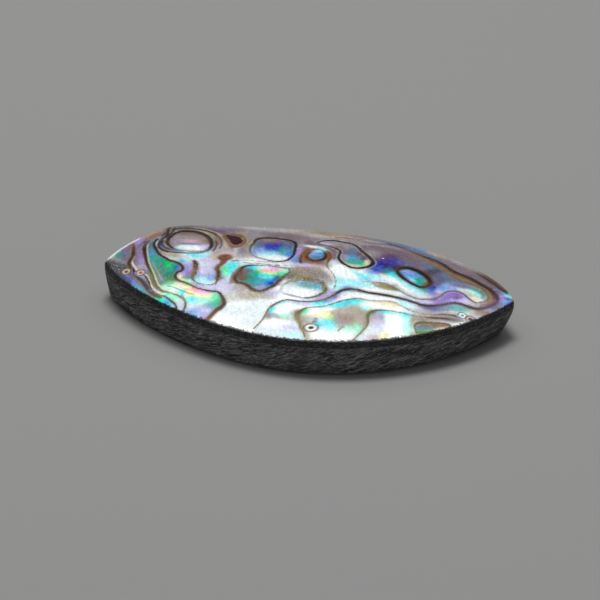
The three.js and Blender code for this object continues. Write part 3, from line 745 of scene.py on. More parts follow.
            ("teal", 20.3, 0.45, 0.8, 0.3, -25), ("moss", 21, 0, 0.4, 0.3, -45),
            ("teal", 21.3, -0.5, 0.2, 0.4), ("mint", 20.3, -0.35, 0.6, 0.3, -20),
            ("pearl", 19.6, -0.6, 0.6, 0.3, -20), ("frost", 19.2, -0.2, 0.9, 0.25, -10),
            ("cream", 20.6, -1.5, 0.7, 0.25, -15), ("slate", 18, 0.7, 1, 0.4, -15),
            ("dusk", 19.3, 0.85, 0.9, 0.3, -20), ("azure", 16.6, -0.2, 0.5, 0.5),
            ("periwinkle", 17.6, -0.2, 0.6, 0.3),
        ],
    },
    "rightTip": {
        "outline": [
            *stretch("longSeam", 16, 20), (22, -2.5), (23.4, -2.9), (27, -1), (27, 2), (23.6, 1.4),
            (22.7, 1.6),
        ],
        "soft": 0.12, "ground": "periwinkle",
        "flashes": [
            ("ice", 24.3, 0.6, 0.4, 0.3), ("aqua", 23.9, 0.9, 0.4, 0.2, -30),
            ("slate", 24.3, 0, 0.5, 0.3), ("azure", 24, -0.6, 0.5, 0.25, 20),
            ("slate", 23.4, -1.2, 0.5, 0.35, 30), ("lilac", 23.5, -0.3, 0.3, 0.6),
            ("mauve", 23, 0.9, 0.4, 0.4), ("dusk", 23.1, -2, 0.4, 0.3, 30),
        ],
    },
}

# colour flashes inside the islands
islandFlashes = {
    "greatEye": [
        ("mauve", -16.2, 6.9, 1.2, 0.35), ("toffee", -15.6, 6.4, 1.3, 0.5),
        ("ash", -16.3, 5.8, 0.8, 0.4), ("ash", -15.2, 5.5, 1.2, 0.45),
        ("toffee", -14.4, 6, 0.6, 0.4), ("ash", -14, 5.8, 0.7, 0.5, -20),
        ("ash", -17.3, 5.2, 0.4, 0.9), ("toffee", -13.3, 4.8, 0.35, 0.8, -10),
        ("blush", -15.3, 4.8, 0.8, 0.2), ("blush", -15, 4.45, 0.8, 0.14),
        ("ash", -13.9, 4.5, 0.5, 0.3), ("ash", -17, 4.1, 0.5, 0.4),
        ("lilac", -15.2, 4.15, 0.9, 0.2), ("slate", -15.5, 3.75, 0.9, 0.2),
        ("ash", -16.8, 3.6, 0.4, 0.4), ("milkAndGlare", -15, 3.2, 1, 0.35),
        ("milkAndGlare", -14.5, 2.75, 1, 0.3), ("ice", -16, 2.8, 0.5, 0.25),
        ("lavender", -13.2, 3.4, 0.35, 0.5),
    ],
    "blueIsland": [
        ("dusk", -6.2, 6, 0.7, 0.6), ("stone", -5.9, 6.4, 0.5, 0.3),
        ("dusk", -5.2, 5.9, 0.7, 0.4), ("indigo", -4.8, 4.9, 0.9, 0.7),
        ("blue", -5.2, 3.9, 0.8, 0.7), ("slate", -6.9, 4.4, 0.4, 0.9),
        ("periwinkle", -6.5, 3.4, 0.6, 0.6), ("ice", -5.3, 2.8, 0.9, 0.6),
        ("milkAndGlare", -4.9, 2, 1.1, 0.5), ("teal", -3.7, 3.9, 0.35, 0.8),
        ("azure", -3, 3.2, 0.4, 0.6), ("slate", -3.3, 4.8, 0.4, 0.7),
        ("slate", -3.7, 5.8, 0.5, 0.5), ("milkAndGlare", -3.6, 1.9, 0.7, 0.4),
        ("dusk", -4.6, 6.3, 0.9, 0.3),
    ],
    "pupil": [
        ("periwinkle", 0.3, 3.9, 0.4, 0.4), ("azure", 0.9, 3.7, 0.3, 0.3),
        ("slate", 0.8, 3, 0.4, 0.4), ("ice", 0.45, 4.5, 0.4, 0.2),
    ],
    "sock": [
        ("ash", 1.7, 7.2, 0.9, 0.4, -5), ("lavender", 1.3, 6.9, 0.5, 0.25),
        ("ash", 2.9, 7.1, 0.8, 0.4, -10), ("ash", 3.7, 6.4, 0.6, 0.5, -30),
        ("mauve", 3.2, 6.2, 0.5, 0.3, -20), ("slate", 4.4, 5.6, 0.5, 0.6, -30),
        ("slate", 4.7, 4.6, 0.6, 0.6), ("aqua", 4.7, 3.7, 0.6, 0.5), ("teal", 5.2, 3, 0.6, 0.5),
        ("jade", 6, 2.7, 0.5, 0.4), ("emerald", 6.4, 2.5, 0.25, 0.2),
        ("jade", 5.4, 2.3, 0.6, 0.3), ("plum", 5.6, 5, 0.35, 0.8, -35),
        ("plum", 6.3, 4, 0.35, 0.6, -35), ("cream", 5.2, 1.9, 1, 0.22),
        ("cream", 6.7, 2.6, 0.2, 0.6), ("ash", 3.9, 3.4, 0.35, 0.7), ("dusk", 3.8, 5, 0.4, 0.5),
    ],
    "lens": [
        ("olive", 11.2, 2.3, 0.3, 0.2, 30), ("olive", 11.3, 1, 0.12, 0.6, 40),
        ("khaki", 14.3, 0.5, 0.16, 0.5, 20), ("olive", 14.2, -0.4, 0.3, 0.2),
        ("periwinkle", 11.9, 1.8, 0.7, 0.4, -30), ("azure", 12.5, 1.3, 0.6, 0.4, -35),
        ("azure", 12, 1, 0.5, 0.3, -40), ("fern", 13.8, 0.3, 0.4, 0.3, -35),
        ("teal", 13.3, 0.6, 0.6, 0.4, -35), ("jade", 13.6, -0.1, 0.5, 0.35, -20),
        ("moss", 14.3, 0, 0.25, 0.3), ("ice", 12.6, 0.4, 0.6, 0.2, -40),
    ],
    "diamond": [
        ("cyan", -6.4, -0.6, 0.7, 0.25), ("milkAndGlare", -5.3, -0.4, 0.7, 0.3),
        ("orchid", -4.2, -0.6, 0.6, 0.3), ("peach", -4.8, -1.05, 0.7, 0.25),
        ("lemon", -4.1, -1.4, 0.6, 0.25), ("cream", -3, -0.6, 0.4, 0.25),
        ("mint", -2.6, -0.7, 0.3, 0.3), ("emerald", -3.3, -1.5, 0.5, 0.3),
        ("mint", -4.9, -1.6, 0.7, 0.2), ("jade", -5.8, -1.6, 0.4, 0.25),
        ("cyan", -4.7, -2.1, 0.7, 0.25), ("ice", -4.7, -2.4, 0.6, 0.25),
        ("teal", -5.6, -2.8, 0.7, 0.35), ("teal", -6.3, -2.1, 0.5, 0.35),
        ("moss", -6.9, -2.7, 0.5, 0.4), ("rust", -7.6, -2.2, 0.35, 0.6),
        ("mauve", -7.1, -1.4, 0.4, 0.4), ("indigo", -3.3, -2.5, 0.35, 0.5),
        ("aqua", -4.2, -2.8, 0.5, 0.3), ("teal", -6.2, -3.4, 0.6, 0.3),
        ("teal", -5.4, -3.9, 0.5, 0.3), ("mauve", -6.6, -3.9, 0.5, 0.2),
        ("lilac", -4.9, -4.3, 0.5, 0.3), ("blue", -3.9, -3.4, 0.35, 0.5, -30),
        ("aqua", -5.2, -3.3, 0.6, 0.35), ("rust", -7.4, -3, 0.4, 0.3),
    ],
    "cloud": [
        ("slate", 0.3, -2.7, 1.3, 0.5), ("teal", 0.8, -3.4, 1.1, 0.4),
        ("aqua", -0.6, -3.1, 0.7, 0.3, 20), ("frost", -1.2, -3.4, 0.7, 0.6),
        ("milkAndGlare", 0, -4.6, 1.4, 0.6), ("aqua", 1.9, -3.4, 0.5, 0.5),
        ("frost", 1.8, -4.5, 0.6, 0.5),
    ],
    "pod": [
        ("bronze", 16.6, -6.9, 1.2, 0.2, 15), ("umber", 15.2, -7.2, 0.6, 0.2, 15),
        ("slate", 15, -7.6, 0.6, 0.25, 15), ("fern", 15.4, -8, 0.9, 0.25, 20),
        ("dusk", 16, -7.3, 1, 0.25, 20), ("cream", 17.4, -7.2, 0.6, 0.14, 20),
    ],
}
print("colour zones set")

# small marks: borings left by worms, a seed-shaped one, and flecks
borings = [
    {
        "at": (-21.85, -2.1), "reach": (0.5, 0.44), "core": 0.26, "ring": "sand", "centre": "umber",
        "depth": 0.02,
    },
    {
        "at": (-20.0, -2.45), "reach": (0.5, 0.44), "core": 0.24, "ring": "blush", "centre": "bronze",
        "depth": 0.02,
    },
    {
        "at": (19.35, -4.6), "reach": (0.46, 0.36), "core": 0.2, "ring": "frost", "centre": "slate",
        "depth": 0.015,
    },
    {
        "at": (20.4, -4.85), "reach": (0.56, 0.4), "core": 0.32, "ring": "blush", "centre": "maroon",
        "depth": 0.03,
    },
    {"at": (8.5, 4.5), "reach": (0.12, 0.1), "core": 0.1, "ring": "frost", "centre": "milkAndGlare", "depth": 0},
    {
        "at": (-18.2, -5.3), "reach": (0.16, 0.12), "core": 0.1, "ring": "umber", "centre": "coal",
        "depth": 0.01,
    },
    {
        "at": (-24.1, 0.1), "reach": (0.24, 0.16), "core": 0.12, "ring": "ash", "centre": "coal",
        "depth": 0.02,
    },
]
# short painted strokes: points, half width in mm, paint
strokes = [
    (
        [
            (-2, -0.6), (-2.1, -1.3), (-2.5, -2.1), (-2.9, -2.9), (-3.4, -3.85), (-4, -4.6),
            (-4.65, -5.1), (-5.25, -5.25), (-6, -4.9), (-6.6, -4.4), (-7.2, -4.05), (-8, -3.85),
            (-8.5, -3.3), (-8.55, -2.6), (-8.3, -1.9), (-8, -0.9), (-7.7, -0.4),
        ],
        0.28, "toffee",
    ),
    ([(-13.95, 0.2), (-13.65, -0.5), (-13.5, -1.4), (-13.45, -2.2), (-13.6, -3.1)], 0.3, "toffee"),
    (
        [(-10.5, 0), (-10.75, -0.8), (-10.8, -1.4), (-10.5, -2.1), (-10.4, -2.9), (-10.45, -3.5)], 0.3,
        "bronze",
    ),
    # painted highlight: a white strip along the back-left rim of the left point, where the rounded edge
    # catches the light
    ([(-24.75, 0.5), (-24.35, 1.8), (-23.6, 3.4), (-22.7, 4.9), (-21.9, 5.9)], 0.36, "milkAndGlare"),
    (
        [
            (10.5, 7.7), (12, 6.9), (13.5, 5.95), (14.6, 5.35), (15.5, 4.8), (16.2, 4), (17, 3.35),
            (17.8, 2.8), (18.8, 2.45), (20, 1.9), (21, 1.2), (21.8, 0.4), (22.3, -0.6), (22.1, -1.7),
            (21.3, -2.35),
        ],
        0.56, "toffee",
    ),
    (
        [
            (13, 6.35), (14.6, 5.5), (15.6, 4.9), (16.3, 4.15), (17.1, 3.45), (18, 2.95), (19, 2.55),
            (20, 2.05), (21.2, 1.35), (22.1, 0.5), (22.6, -0.5), (22.4, -1.5),
        ],
        0.14, "rust",
    ),
    (
        [
            (13.6, 5.3), (15, 4.2), (16.2, 3.4), (17.1, 2.65), (17.8, 2.05), (18.8, 1.6), (19.8, 1.3),
            (20.8, 0.95), (21.5, 0.4), (21.95, -0.5), (21.85, -1.2), (21.3, -1.75), (20.6, -2.05),
        ],
        0.13, "olive",
    ),
    ([(-13.6, 7.3), (-12.8, 6.7), (-12.2, 5.9), (-11.85, 4.9), (-11.7, 3.9)], 0.34, "toffee"),
    (
        [
            (-16, 8.9), (-14.6, 8.7), (-13.3, 8), (-12.4, 7.3), (-11.6, 6.3), (-11.1, 5.2), (-10.75, 4.2),
            (-10.45, 3.2),
        ],
        0.12, "sand",
    ),
    (
        [(-14, 7.9), (-13, 7.3), (-12.3, 6.6), (-11.8, 5.8), (-11.4, 4.8), (-11.3, 3.8), (-11.5, 2.9)],
        0.1, "umber",
    ),
    ([(-18.85, 4.8), (-18.75, 3.9), (-18.3, 3), (-17.5, 2.45), (-16.6, 2.2)], 0.22, "smoke"),
    ([(-12.25, 5.2), (-11.95, 4.2), (-11.9, 3.2), (-12.1, 2.3)], 0.14, "umber"),
    (
        [
            (-11.6, 7.2), (-11.4, 6.5), (-11, 5.7), (-10.55, 4.9), (-10.1, 4), (-9.55, 3.8), (-8.95, 4.2),
            (-8.6, 4.9), (-8.55, 5.7), (-8.9, 6.5), (-9.5, 7.1), (-10.4, 7.35), (-11.2, 7.4),
        ],
        0.34, "bronze",
    ),
    (
        [
            (-9.9, 10), (-9.75, 9.1), (-9.45, 8.1), (-9.05, 7.2), (-8.6, 6.4), (-8.35, 5.6), (-8.4, 4.8),
            (-8.8, 4),
        ],
        0.12, "khaki",
    ),
    ([(-18.5, 8.2), (-18.35, 7), (-18.4, 5.8), (-18.35, 4.9)], 0.3, "toffee"),
    ([(-24.9, -0.1), (-24.3, -0.6), (-23.6, -1.1), (-22.9, -1.7), (-22.2, -2.5)], 0.6, "smoke"),
    ([(-25, 0), (-24.3, -0.9), (-23.5, -1.8), (-22.6, -2.6), (-21.7, -3.5), (-20.8, -4.3)], 0.34, "coal"),
    (
        [
            (-18.95, 5.2), (-18.9, 6.6), (-18.3, 7.8), (-17.1, 8.4), (-15.6, 8.45), (-14.1, 8),
            (-12.9, 7.3), (-12, 6.2),
        ],
        0.16, "smoke",
    ),
    (
        [
            (-18.55, 5), (-18.4, 6.5), (-17.8, 7.6), (-16.7, 8), (-15.2, 8), (-13.9, 7.6), (-12.95, 6.8),
            (-12.3, 5.7),
        ],
        0.1, "khaki",
    ),
    ([(-21.4, 1), (-21.6, 0), (-21.3, -0.8), (-20.8, -1.6), (-20.5, -2)], 0.1, "cream"),
    (
        [
            (-19.5, -2.6), (-19, -3.2), (-18.55, -4), (-18.15, -4.8), (-17.7, -5.35), (-17, -5.85),
            (-16, -6.2),
        ],
        0.1, "cream",
    ),
    (
        [
            (-20.25, 4), (-20.3, 3), (-20.1, 1.8), (-19.8, 0.8), (-19.45, -0.4), (-18.95, -1.5),
            (-18.4, -2.5), (-17.95, -3.5), (-17.45, -4.5), (-16.9, -5.05), (-16.1, -5.45), (-15.1, -5.8),
            (-14.1, -6.3),
        ],
        0.1, "cream",
    ),
    ([(-19, -0.4), (-18.2, -1.9), (-17.5, -3.1), (-17, -3.9)], 0.12, "ash"),
    ([(-18.4, 0.2), (-17.6, -1.4), (-16.9, -2.8)], 0.1, "slate"),
    (
        [(-18.5, 4.3), (-18.4, 3.5), (-17.95, 2.85), (-17.3, 2.4), (-16.6, 2.15), (-15.6, 1.98)], 0.09,
        "slate",
    ),
    (
        [
            (-19, 4.2), (-18.85, 3.1), (-18.4, 2.35), (-17.5, 1.8), (-16.6, 1.62), (-15.4, 1.62),
            (-14, 1.75), (-12.9, 2),
        ],
        0.14, "smoke",
    ),
    ([(-19.15, 4.6), (-19.1, 3.4), (-18.75, 2.6), (-18.1, 2), (-17.2, 1.5)], 0.12, "coal"),
    ([(-19.25, 4.4), (-19.3, 3.3), (-19, 2.5), (-18.5, 1.85)], 0.08, "frost"),
    ([(1.85, 9.1), (3, 9.45), (4.2, 9.5), (5.6, 9.45)], 0.1, "smoke"),
    ([(8.2, 9.4), (9.1, 9.1), (10, 8.75), (10.7, 8.5)], 0.12, "coal"),
    ([(-8, 0.35), (-7, 0.3), (-5.5, 0.42), (-4, 0.15)], 0.07, "mauve"),
    ([(2.45, -8.7), (2.4, -9.1), (2.3, -9.4)], 0.3, "ash"), ([(2.1, -9.45), (2.6, -9.35)], 0.14, "dusk"),
    ([(5.95, -9.4), (5.6, -9.9), (5.25, -10.4)], 0.1, "toffee"),
    ([(5.4, -9.3), (5.5, -9.9)], 0.18, "stone"), ([(2.3, -2.4), (2.9, -1.6), (3.3, -0.8)], 0.08, "sand"),
    ([(-1.8, 0.1), (-0.7, 0.35), (0.9, 0.4), (1.6, -0.1), (2.4, -0.7)], 0.09, "khaki"),
    ([(-16.4, -4.75), (-15.4, -5.05), (-14.5, -5.5), (-13.6, -5.9), (-12.5, -6.3)], 0.06, "olive"),
    ([(-16.3, -7.6), (-15.6, -8.4)], 0.08, "khaki"),
]
# where the nacre is crazed: place, reaches, turn, strength
crazedSpots = [
    (-12.2, -1.8, 0.8, 1.6, 0, 0.9), (-7.8, -5, 1.6, 0.6, -15, 0.9), (-6.2, -5.6, 1.8, 0.6, 0, 0.8),
    (-4, -5.4, 1, 0.6, 0, 0.7), (0.2, -2.3, 1.8, 0.5, 0, 1), (2.4, -2.4, 0.6, 1, 20, 1),
    (0.5, -0.6, 2.2, 0.7, 0, 0.7), (3.2, -2.4, 0.5, 1.5, 0, 0.8), (2.9, -4.4, 0.7, 0.9, 30, 0.7),
    (-1.9, -3.2, 0.6, 0.6, 0, 0.9), (6.5, -2.6, 1.6, 0.5, 0, 0.4), (9, -4.2, 1.6, 0.4, 0, 0.4),
    (-15.8, -5.6, 1.4, 0.5, -25, 0.5), (-9.9, -3.9, 0.6, 1.2, 0, 0.6), (-23.6, -0.8, 1.2, 0.5, -35, 0.5),
    (-9.6, -1.6, 0.8, 0.8, 0, 0.5), (16.6, -2.2, 0.8, 0.6, 30, 0.4), (4.2, -9.8, 1.2, 0.8, 0, 0.25),
    (-12.2, 1.2, 1, 0.6, 0, 0.4), (-17.4, -3, 0.8, 1.4, 30, 0.25),
]
teardrop = [
    (-11.2, 7), (-10.5, 6.85), (-9.8, 6.65), (-9.3, 6.15), (-9, 5.4), (-9.2, 4.75), (-9.7, 4.4),
    (-10.15, 4.8), (-10.5, 5.5), (-10.9, 6.2),
]
seed = {
    "at": (2.1, -10.3), "reach": (0.98, 0.66), "turn": 8,
    "rings": [(1.06, "umber"), (0.88, "pearl"), (0.66, "milkAndGlare"), (0.46, "umber"), (0.34, "coal")],
}


painting = {
    "flashSharpness": 0.8,             # how quickly a flash fades over its reach
    "groundWeight": 0.12,              # how much of a zone's own colour stays between flashes
    "lineShare": 0.66,                 # share of the widths above that is dark right across
    "islandSoft": 0.08,                # mm, how softly an island's colours end
    "strokeStrength": 0.95,
    "glowWidth": 0.13,                 # mm, half width of a line that is broad enough to glow brown
    "farFromLines": 9.0,               # mm, stands for no line nearby
}


def linearColour(name):
    shade = np.array(paints[name], dtype=float) / 255
    return np.where(shade <= 0.04045, shade / 12.92, ((shade + 0.055) / 1.055) ** 2.4)


def evenEdge(controls, steps):
    # cubic pieces end to end, sampled at even lengths on each piece
    fine = np.linspace(0, 1, 2001)[:, None]
    pieces = []
    for k in range(0, len(controls) - 3, 3):
        a, b, c, d = (np.array(controls[k + j], dtype=float) for j in range(4))
        back = 1 - fine
        pieces.append(a * back ** 3 + 3 * b * fine * back ** 2 + 3 * c * fine ** 2 * back + d * fine ** 3)
    path = np.vstack([pieces[0]] + [p[1:] for p in pieces[1:]])
    travelled = np.concatenate([[0], np.cumsum(np.linalg.norm(np.diff(path, axis=0), axis=1))])
    wanted = np.linspace(0, travelled[-1], steps + 1)
    return np.column_stack([np.interp(wanted, travelled, path[:, k]) for k in (0, 1)])


def smoothLine(points, closed=False, spacing=0.12):
    # a curve through the points, with its place along the line from 0 to 1
    p = np.array(points, dtype=float)
    p = np.vstack([p[-1], p, p[0], p[1]]) if closed else np.vstack([2 * p[0] - p[1], p, 2 * p[-1] - p[-2]])
    out, where = [], []
    last = len(p) - 3
    for k in range(last):
        a, b, c, d = p[k:k + 4]
        steps = max(3, int(np.linalg.norm(c - b) / spacing))
        t = np.linspace(0, 1, steps, endpoint=False)[:, None]
        bend = (2 * a - 5 * b + 4 * c - d) * t ** 2
        twist = (3 * b - a - 3 * c + d) * t ** 3
        out.append(0.5 * (2 * b + (c - a) * t + bend + twist))
        where.append((k + t[:, 0]) / last)
    out.append(p[-2][None, :])
    where.append(np.array([1.0]))
    return np.vstack(out), np.concatenate(where)


def nearestOnLine(spots, line, where):
    # distance from every spot to the line, and how far along the line that is
    start, step = line[:-1], np.diff(line, axis=0)
    lengthSq = np.maximum((step ** 2).sum(1), 1e-12)
    distance = np.full(len(spots), 1e9)
    along = np.zeros(len(spots))
    for k in range(len(step)):
        toSpot = spots - start[k]
        t = np.clip((toSpot @ step[k]) / lengthSq[k], 0, 1)
        gap = np.hypot(toSpot[:, 0] - t * step[k][0], toSpot[:, 1] - t * step[k][1])
        closer = gap < distance
        distance[closer] = gap[closer]
        along[closer] = (where[k] + t * (where[k + 1] - where[k]))[closer]
    return distance, along


def inside(spots, ring):
    # true for the spots that the ring closes in
    hit = np.zeros(len(spots), dtype=bool)
    for (x1, y1), (x2, y2) in zip(ring, np.roll(ring, -1, axis=0)):
        spans = (y1 > spots[:, 1]) != (y2 > spots[:, 1])
        if y1 != y2:
            hit ^= spans & (spots[:, 0] < (x2 - x1) * (spots[:, 1] - y1) / (y2 - y1) + x1)
    return hit


def near(spots, ring, reach):
    low, high = ring.min(0) - reach, ring.max(0) + reach
    return np.nonzero(((spots > low) & (spots < high)).all(1))[0]


def lay(tone, which, colour, amount):
    # covers the chosen points with a colour, each by its own amount
    tone[which] += (colour - tone[which]) * amount[:, None]


def flashWeight(spots, flash):
    x, y, rx = flash[1:4]
    ry = flash[4] if len(flash) > 4 else rx
    turn = math.radians(flash[5] if len(flash) > 5 else 0)
    dx, dy = spots[:, 0] - x, spots[:, 1] - y
    u = (dx * math.cos(turn) + dy * math.sin(turn)) / rx
    v = (-dx * math.sin(turn) + dy * math.cos(turn)) / ry
    return np.exp(-painting["flashSharpness"] * (u * u + v * v))


def blendFlashes(spots, ground, flashes):
    # the colours run into each other, each strongest at its own flash
    total = np.full(len(spots), painting["groundWeight"])
    layer = np.tile(linearColour(ground) * painting["groundWeight"], (len(spots), 1))
    for flash in flashes:
        weight = flashWeight(spots, flash)
        layer += weight[:, None] * linearColour(flash[0])
        total += weight
    return layer / total[:, None]


def edgeMask(distance, soft):
    return np.clip(0.5 - distance / (2 * soft), 0, 1)


def alongTones(names, along):
    stops = np.linspace(0, 1, len(names))
    shades = np.array([linearColour(n) for n in names])
    return np.column_stack([np.interp(along, stops, shades[:, k]) for k in range(3)])


def signedGap(spots, line, where):
    # distance to a closed line, below 0 inside it, and the place along it
    gap, along = nearestOnLine(spots, line, where)
    return np.where(inside(spots, line), -gap, gap), gap, along


def blankMarks(count):
    # what the finish reads at every point of the slice
    return {
        "tone": np.tile(linearColour("ash"), (count, 1)),
        "seamTone": np.tile(linearColour("smoke"), (count, 1)),
        "seam": np.full(count, painting["farFromLines"]),  # to the edge of the nearest line, below 0 inside
        "paleRim": np.zeros(count),
        "glow": np.zeros(count),                           # how strongly brown runs out from that line
        "crazed": np.zeros(count),
        "relief": np.zeros(count),
    }


def layZones(spots, marks):
    for zone in zones.values():
        ring = np.array(zone["outline"], dtype=float)
        which = near(spots, ring, 0.5)
        here = spots[which]
        closedRing = np.vstack([ring, ring[:1]])
        gap, _ = nearestOnLine(here, closedRing, np.linspace(0, 1, len(closedRing)))
        signed = np.where(inside(here, ring), -gap, gap)
        layer = blendFlashes(here, zone["ground"], zone["flashes"])
        lay(marks["tone"], which, layer, edgeMask(signed, zone["soft"]))


def layStrokes(spots, marks):
    for points, reach, name in strokes:
        line, where = smoothLine(points)
        which = near(spots, line, reach * 3)
        gap, along = nearestOnLine(spots[which], line, where)
        taper = np.clip(np.minimum(along, 1 - along) * 12, 0.25, 1)
        strength = painting["strokeStrength"] * np.exp(-(gap / (reach * taper)) ** 2.5 * 0.8)
        lay(marks["tone"], which, linearColour(name), strength)


def layIslands(spots, marks):
    for name, island in islands.items():
        line, where = smoothLine(island["points"], closed=True)
        which = near(spots, line, 1.5)
        here = spots[which]
        signed, gap, along = signedGap(here, line, where)
        layer = blendFlashes(here, island["ground"], islandFlashes[name])
        lay(marks["tone"], which, layer, edgeMask(signed, painting["islandSoft"]))
        joinEdge(which, gap, along, island, marks)


def layLines(spots, marks):
    for seam in seams.values():
        line, where = smoothLine(seam["points"])
        which = near(spots, line, 1.5)
        gap, along = nearestOnLine(spots[which], line, where)
        joinEdge(which, gap, along, seam, marks)


def joinEdge(which, gap, along, mark, marks):
    # the border line's own edge: half its width either side of its middle
    stops = np.linspace(0, 1, len(mark["widths"]))
    half = 0.5 * painting["lineShare"] * np.interp(along, stops, mark["widths"])
    edge = gap - half
    closer = edge < marks["seam"][which]
    chosen = which[closer]
    marks["seam"][chosen] = edge[closer]
    marks["seamTone"][chosen] = alongTones(mark["tones"], along[closer])
    marks["paleRim"][chosen] = mark["rim"]
    marks["glow"][chosen] = np.clip(half[closer] / painting["glowWidth"] - 0.3, 0, 1)


def layTeardrop(spots, marks):
    # one dark, solid drop
    ring, _ = smoothLine(teardrop, closed=True)
    which = near(spots, ring, 1)
    gap, _, _ = signedGap(spots[which], ring, np.linspace(0, 1, len(ring)))
    closer = gap < marks["seam"][which]
    chosen = which[closer]
    marks["seam"][chosen] = gap[closer]
    marks["seamTone"][chosen] = linearColour("maroon")
    marks["glow"][chosen] = 1


def layBorings(spots, marks):
    for boring in borings:
        which = near(spots, np.array([boring["at"]]), 2)
        u = (spots[which] - boring["at"]) / boring["reach"]
        far = np.hypot(u[:, 0], u[:, 1])
        core = boring["core"] / boring["reach"][0]
        tone = marks["tone"]
        lay(tone, which, linearColour("umber"), 0.8 * np.clip((1.45 - far) * 4, 0, 1))
        lay(tone, which, linearColour(boring["ring"]), np.clip((1.05 - far) * 5, 0, 1))
        lay(tone, which, linearColour(boring["centre"]), np.clip((core * 1.2 - far) * 5, 0, 1))
        marks["relief"][which] -= boring["depth"] * np.exp(-(far / core) ** 2)
        marks["seam"][which] = np.where(far < 1.4, painting["farFromLines"], marks["seam"][which])


def laySeed(spots, marks):
    # rings inside each other, turned a little
    turn = math.radians(seed["turn"])
    which = near(spots, np.array([seed["at"]]), 2)
    dx, dy = (spots[which] - seed["at"]).T
    far = np.hypot((dx * math.cos(turn) + dy * math.sin(turn)) / seed["reach"][0],
                   (-dx * math.sin(turn) + dy * math.cos(turn)) / seed["reach"][1])
    for size, name in seed["rings"]:
        lay(marks["tone"], which, linearColour(name), np.clip((size - far) * 6, 0, 1))


def layCrazing(spots, marks):
    for x, y, reachX, reachY, turn, amount in crazedSpots:
        spread = np.sqrt(flashWeight(spots, ("", x, y, reachX, reachY, turn)))
        marks["crazed"] = np.maximum(marks["crazed"], amount * spread)


def paintSlice(spots):
    # spots are in mm from the line through the two points; marks are laid in order, lowest first
    marks = blankMarks(len(spots))
    for layMark in (layZones, layStrokes, layIslands, layLines, layTeardrop, layBorings, laySeed, layCrazing):
        layMark(spots, marks)
    return marks


# the pieces' boxes, from the frame, in mm
low, high = (np.array(c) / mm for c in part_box("shell_slice"))
filmLow, filmHigh = (np.array(c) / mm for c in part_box("glue_film"))
backingHigh = np.array(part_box("backing")[1]) / mm
filmTop = low[2]
rimHeight = outline["rimHeight"]
crown = high[2] - rimHeight
middleY = outline["pointsY"]
stations, columns = outline["stations"], outline["domeColumns"]
front = evenEdge(outline["frontEdge"], stations)
back = evenEdge(outline["backEdge"], stations)
# the smooth outline is drawn in a hair so that it stays inside the box of the frame's own slice
fit = min(1, (high[1] - middleY) / (back[:, 1].max() - middleY),
          (middleY - low[1]) / (middleY - front[:, 1].min()))
for edge in (front, back):
    edge[:, 1] = middleY + (edge[:, 1] - middleY) * fit


def roundDepth(radius, distance):
    # how deep a rounded edge cuts in, this far up it
    reach = min(max(distance, 0), radius)
    return radius - math.sqrt(radius * radius - reach * reach)


def ringAt(z):
    # the outline at one height, as a closed ring
    lean = max(0, 1 - z / filmTop) ** outline["leanPower"]
    foot = roundDepth(outline["footRadius"], outline["footRadius"] - z)
    rim = roundDepth(outline["rimRadius"], z - (rimHeight - outline["rimRadius"]))
    rim *= outline["rimInset"]
    rim /= outline["rimRadius"]
    flat = np.vstack([front, back[1:stations][::-1]])
    tipLean = np.where(flat[:, 0] < 0, outline["leftLean"], outline["rightLean"])
    alongX = (tipLean * lean + foot + rim) / outline["halfLength"]
    alongY = (outline["sideLean"] * lean + foot + rim) / outline["halfWidth"]
    return np.column_stack([flat[:, 0] * (1 - alongX), middleY + (flat[:, 1] - middleY) * (1 - alongY),
                            np.full(len(flat), z)])


def wallFaces(rings, size):
    # bands of four-sided faces between rings that lie one above another
    faces = []
    for level in range(rings - 1):
        for i in range(size):
            j = (i + 1) % size
            faces.append((level * size + i, level * size + j, (level + 1) * size + j, (level + 1) * size + i))
    return faces


def flatFaces(first, size, faceUp):
    # strips from edge to edge across one ring
    half = size // 2
    faces = []
    for k in range(half):
        quad = [first + k, first + k + 1, first + (size - k - 1) % size, first + (size - k) % size]
        quad = list(dict.fromkeys(quad if faceUp else quad[::-1]))
        faces.append(tuple(quad))
    return faces


def domeGrid(topRing, first):
    # columns across the ring from front to back; both points of the stone stay single
    points, faces, names = [], [], []
    size = len(topRing)
    across = (1 - np.cos(np.linspace(0, math.pi, columns + 1))) / 2
    across = 0.5 * across + 0.5 * np.linspace(0, 1, columns + 1)      # closer together by both edges
    for k in range(stations + 1):
        a, b = topRing[k], topRing[(size - k) % size]
        rise = crown * np.linalg.norm(b - a) / (high[1] - low[1])
        column = [k]
        for j in range(1, columns):
            if k in (0, stations):
                column.append(k)
                continue
            t = across[j]
            spot = a + (b - a) * t
            lift = rise * (1 - abs(2 * t - 1) ** outline["domePower"])
            points.append((spot[0], spot[1], spot[2] + lift))
            column.append(first + len(points) - 1)
        column.append((size - k) % size)
        names.append(column)
    for k in range(stations):
        for j in range(columns):
            here, ahead = names[k], names[k + 1]
            quad = list(dict.fromkeys((here[j], ahead[j], ahead[j + 1], here[j + 1])))
            if len(quad) > 2:
                faces.append(tuple(quad))
    return np.array(points), faces


def makePiece(name, points, faces, node):
    mesh = bpy.data.meshes.new(name)
    mesh.from_pydata([tuple(p * mm) for p in points], [], faces)
    mesh.update()
    mesh.validate()
    for polygon in mesh.polygons:
        polygon.use_smooth = True
    piece = bpy.data.objects.new(name, mesh)
    bpy.context.scene.collection.objects.link(piece)
    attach(piece, "root")
    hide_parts(node)
    return piece


def roundHeights(start, end, steps):
    # heights up a rounded edge, closer together at its end
    return [start + (end - start) * math.sin(i / steps * math.pi / 2) for i in range(steps + 1)]


